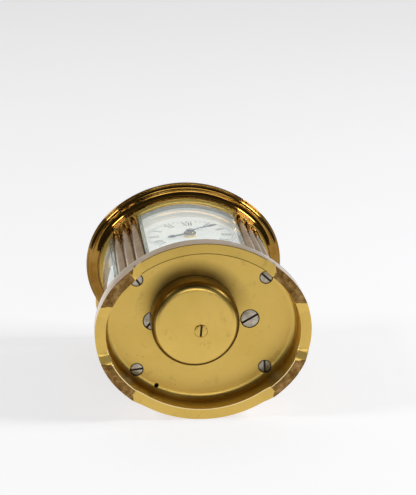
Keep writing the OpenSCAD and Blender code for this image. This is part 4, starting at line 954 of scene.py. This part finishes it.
hours = ("XII", "I", "II", "III", "IIII", "V", "VI", "VII", "VIII", "IX", "X", "XI")
numeral_h = 3.3
numeral_r = 13.3 * MM
track_in, track_out = 15.5, 16.7
alarm_in, alarm_mid, alarm_out = 5.1, 5.5, 5.9
line_w = 0.1
print_mesh = bmesh.new()
for hour, text in enumerate(hours):
    numeral(print_mesh, text, numeral_h, math.radians(30 * hour), hub, numeral_r)
circle_line(print_mesh, hub, track_in, line_w)
circle_line(print_mesh, hub, track_out, line_w)
ticks(print_mesh, hub, track_in, track_out, 60, 0.14, 0.36)
circle_line(print_mesh, alarm_hub, alarm_out, line_w)
circle_line(print_mesh, alarm_hub, alarm_in, line_w)
ticks(print_mesh, alarm_hub, alarm_in, alarm_out, 12, 0.2)
ticks(print_mesh, alarm_hub, alarm_mid, alarm_out, 48, line_w)
bmesh.ops.recalc_face_normals(print_mesh, faces=print_mesh.faces)
piece(print_mesh, "dial_print", "case", "dial_white", enamel("print_black", (0.10, 0.12, 0.14)))


# Movement: lacquered brass plates and wheels, polished steel arbors and blue springs. Its
# solids keep their shape and get their finish here.
def brushed_brass(name, stretch):
    """Brass with brush lines, drawn out along the axes with a small stretch."""
    material, tree, shader, where = new_material(name)
    drawn = node(tree, "Mapping", {"Vector": where, "Scale": stretch}).outputs["Vector"]
    lines = noise(tree, drawn, 900, 4, 0.6)
    tone = steps(tree, noise(tree, where, 120, 4), (0.3, (0.72, 0.53, 0.23)), (0.7, (0.86, 0.67, 0.33)))
    shader.inputs["Metallic"].default_value = 1.0
    tree.links.new(tone, shader.inputs["Base Color"])
    tree.links.new(steps(tree, lines, (0.3, 0.22), (0.7, 0.36)), shader.inputs["Roughness"])
    tree.links.new(bump(tree, lines, 0.2, 0.02 * MM), shader.inputs["Normal"])
    return material


plate_brass = brushed_brass("plate_brush", (1, 1, 0.04))
for name in ("front_plate", "back_plate", "plate_posts", "platform", "balance_cock"):
    dress(name, plate_brass)
wheel_brass = brushed_brass("wheel_brush", (0.3, 1, 0.3))
for name in ("going_barrel", "alarm_barrel", "centre_wheel", "minute_wheel", "hour_wheel",
        "third_wheel", "contrate_wheel", "balance_wheel"):
    dress(name, wheel_brass)
arbor_steel = steel("arbor_steel", (0.50, 0.50, 0.51), (0.66, 0.66, 0.67), 0.16, 0.08)
for name in ("going_winding_arbor", "going_click", "alarm_winding_arbor", "alarm_click", "centre_arbor",
        "cannon_pinion", "alarm_arbor", "alarm_hammer", "escape_wheel", "pallet_lever"):
    dress(name, arbor_steel)
spring_steel = steel("spring_steel", (0.20, 0.24, 0.34), (0.33, 0.38, 0.48), 0.24, 0.1)
for name in ("going_mainspring", "alarm_mainspring", "hairspring"):
    dress(name, spring_steel)
for name in ("going_key", "alarm_key", "setting_knob", "alarm_knob"):
    dress(name, fittings_brass)
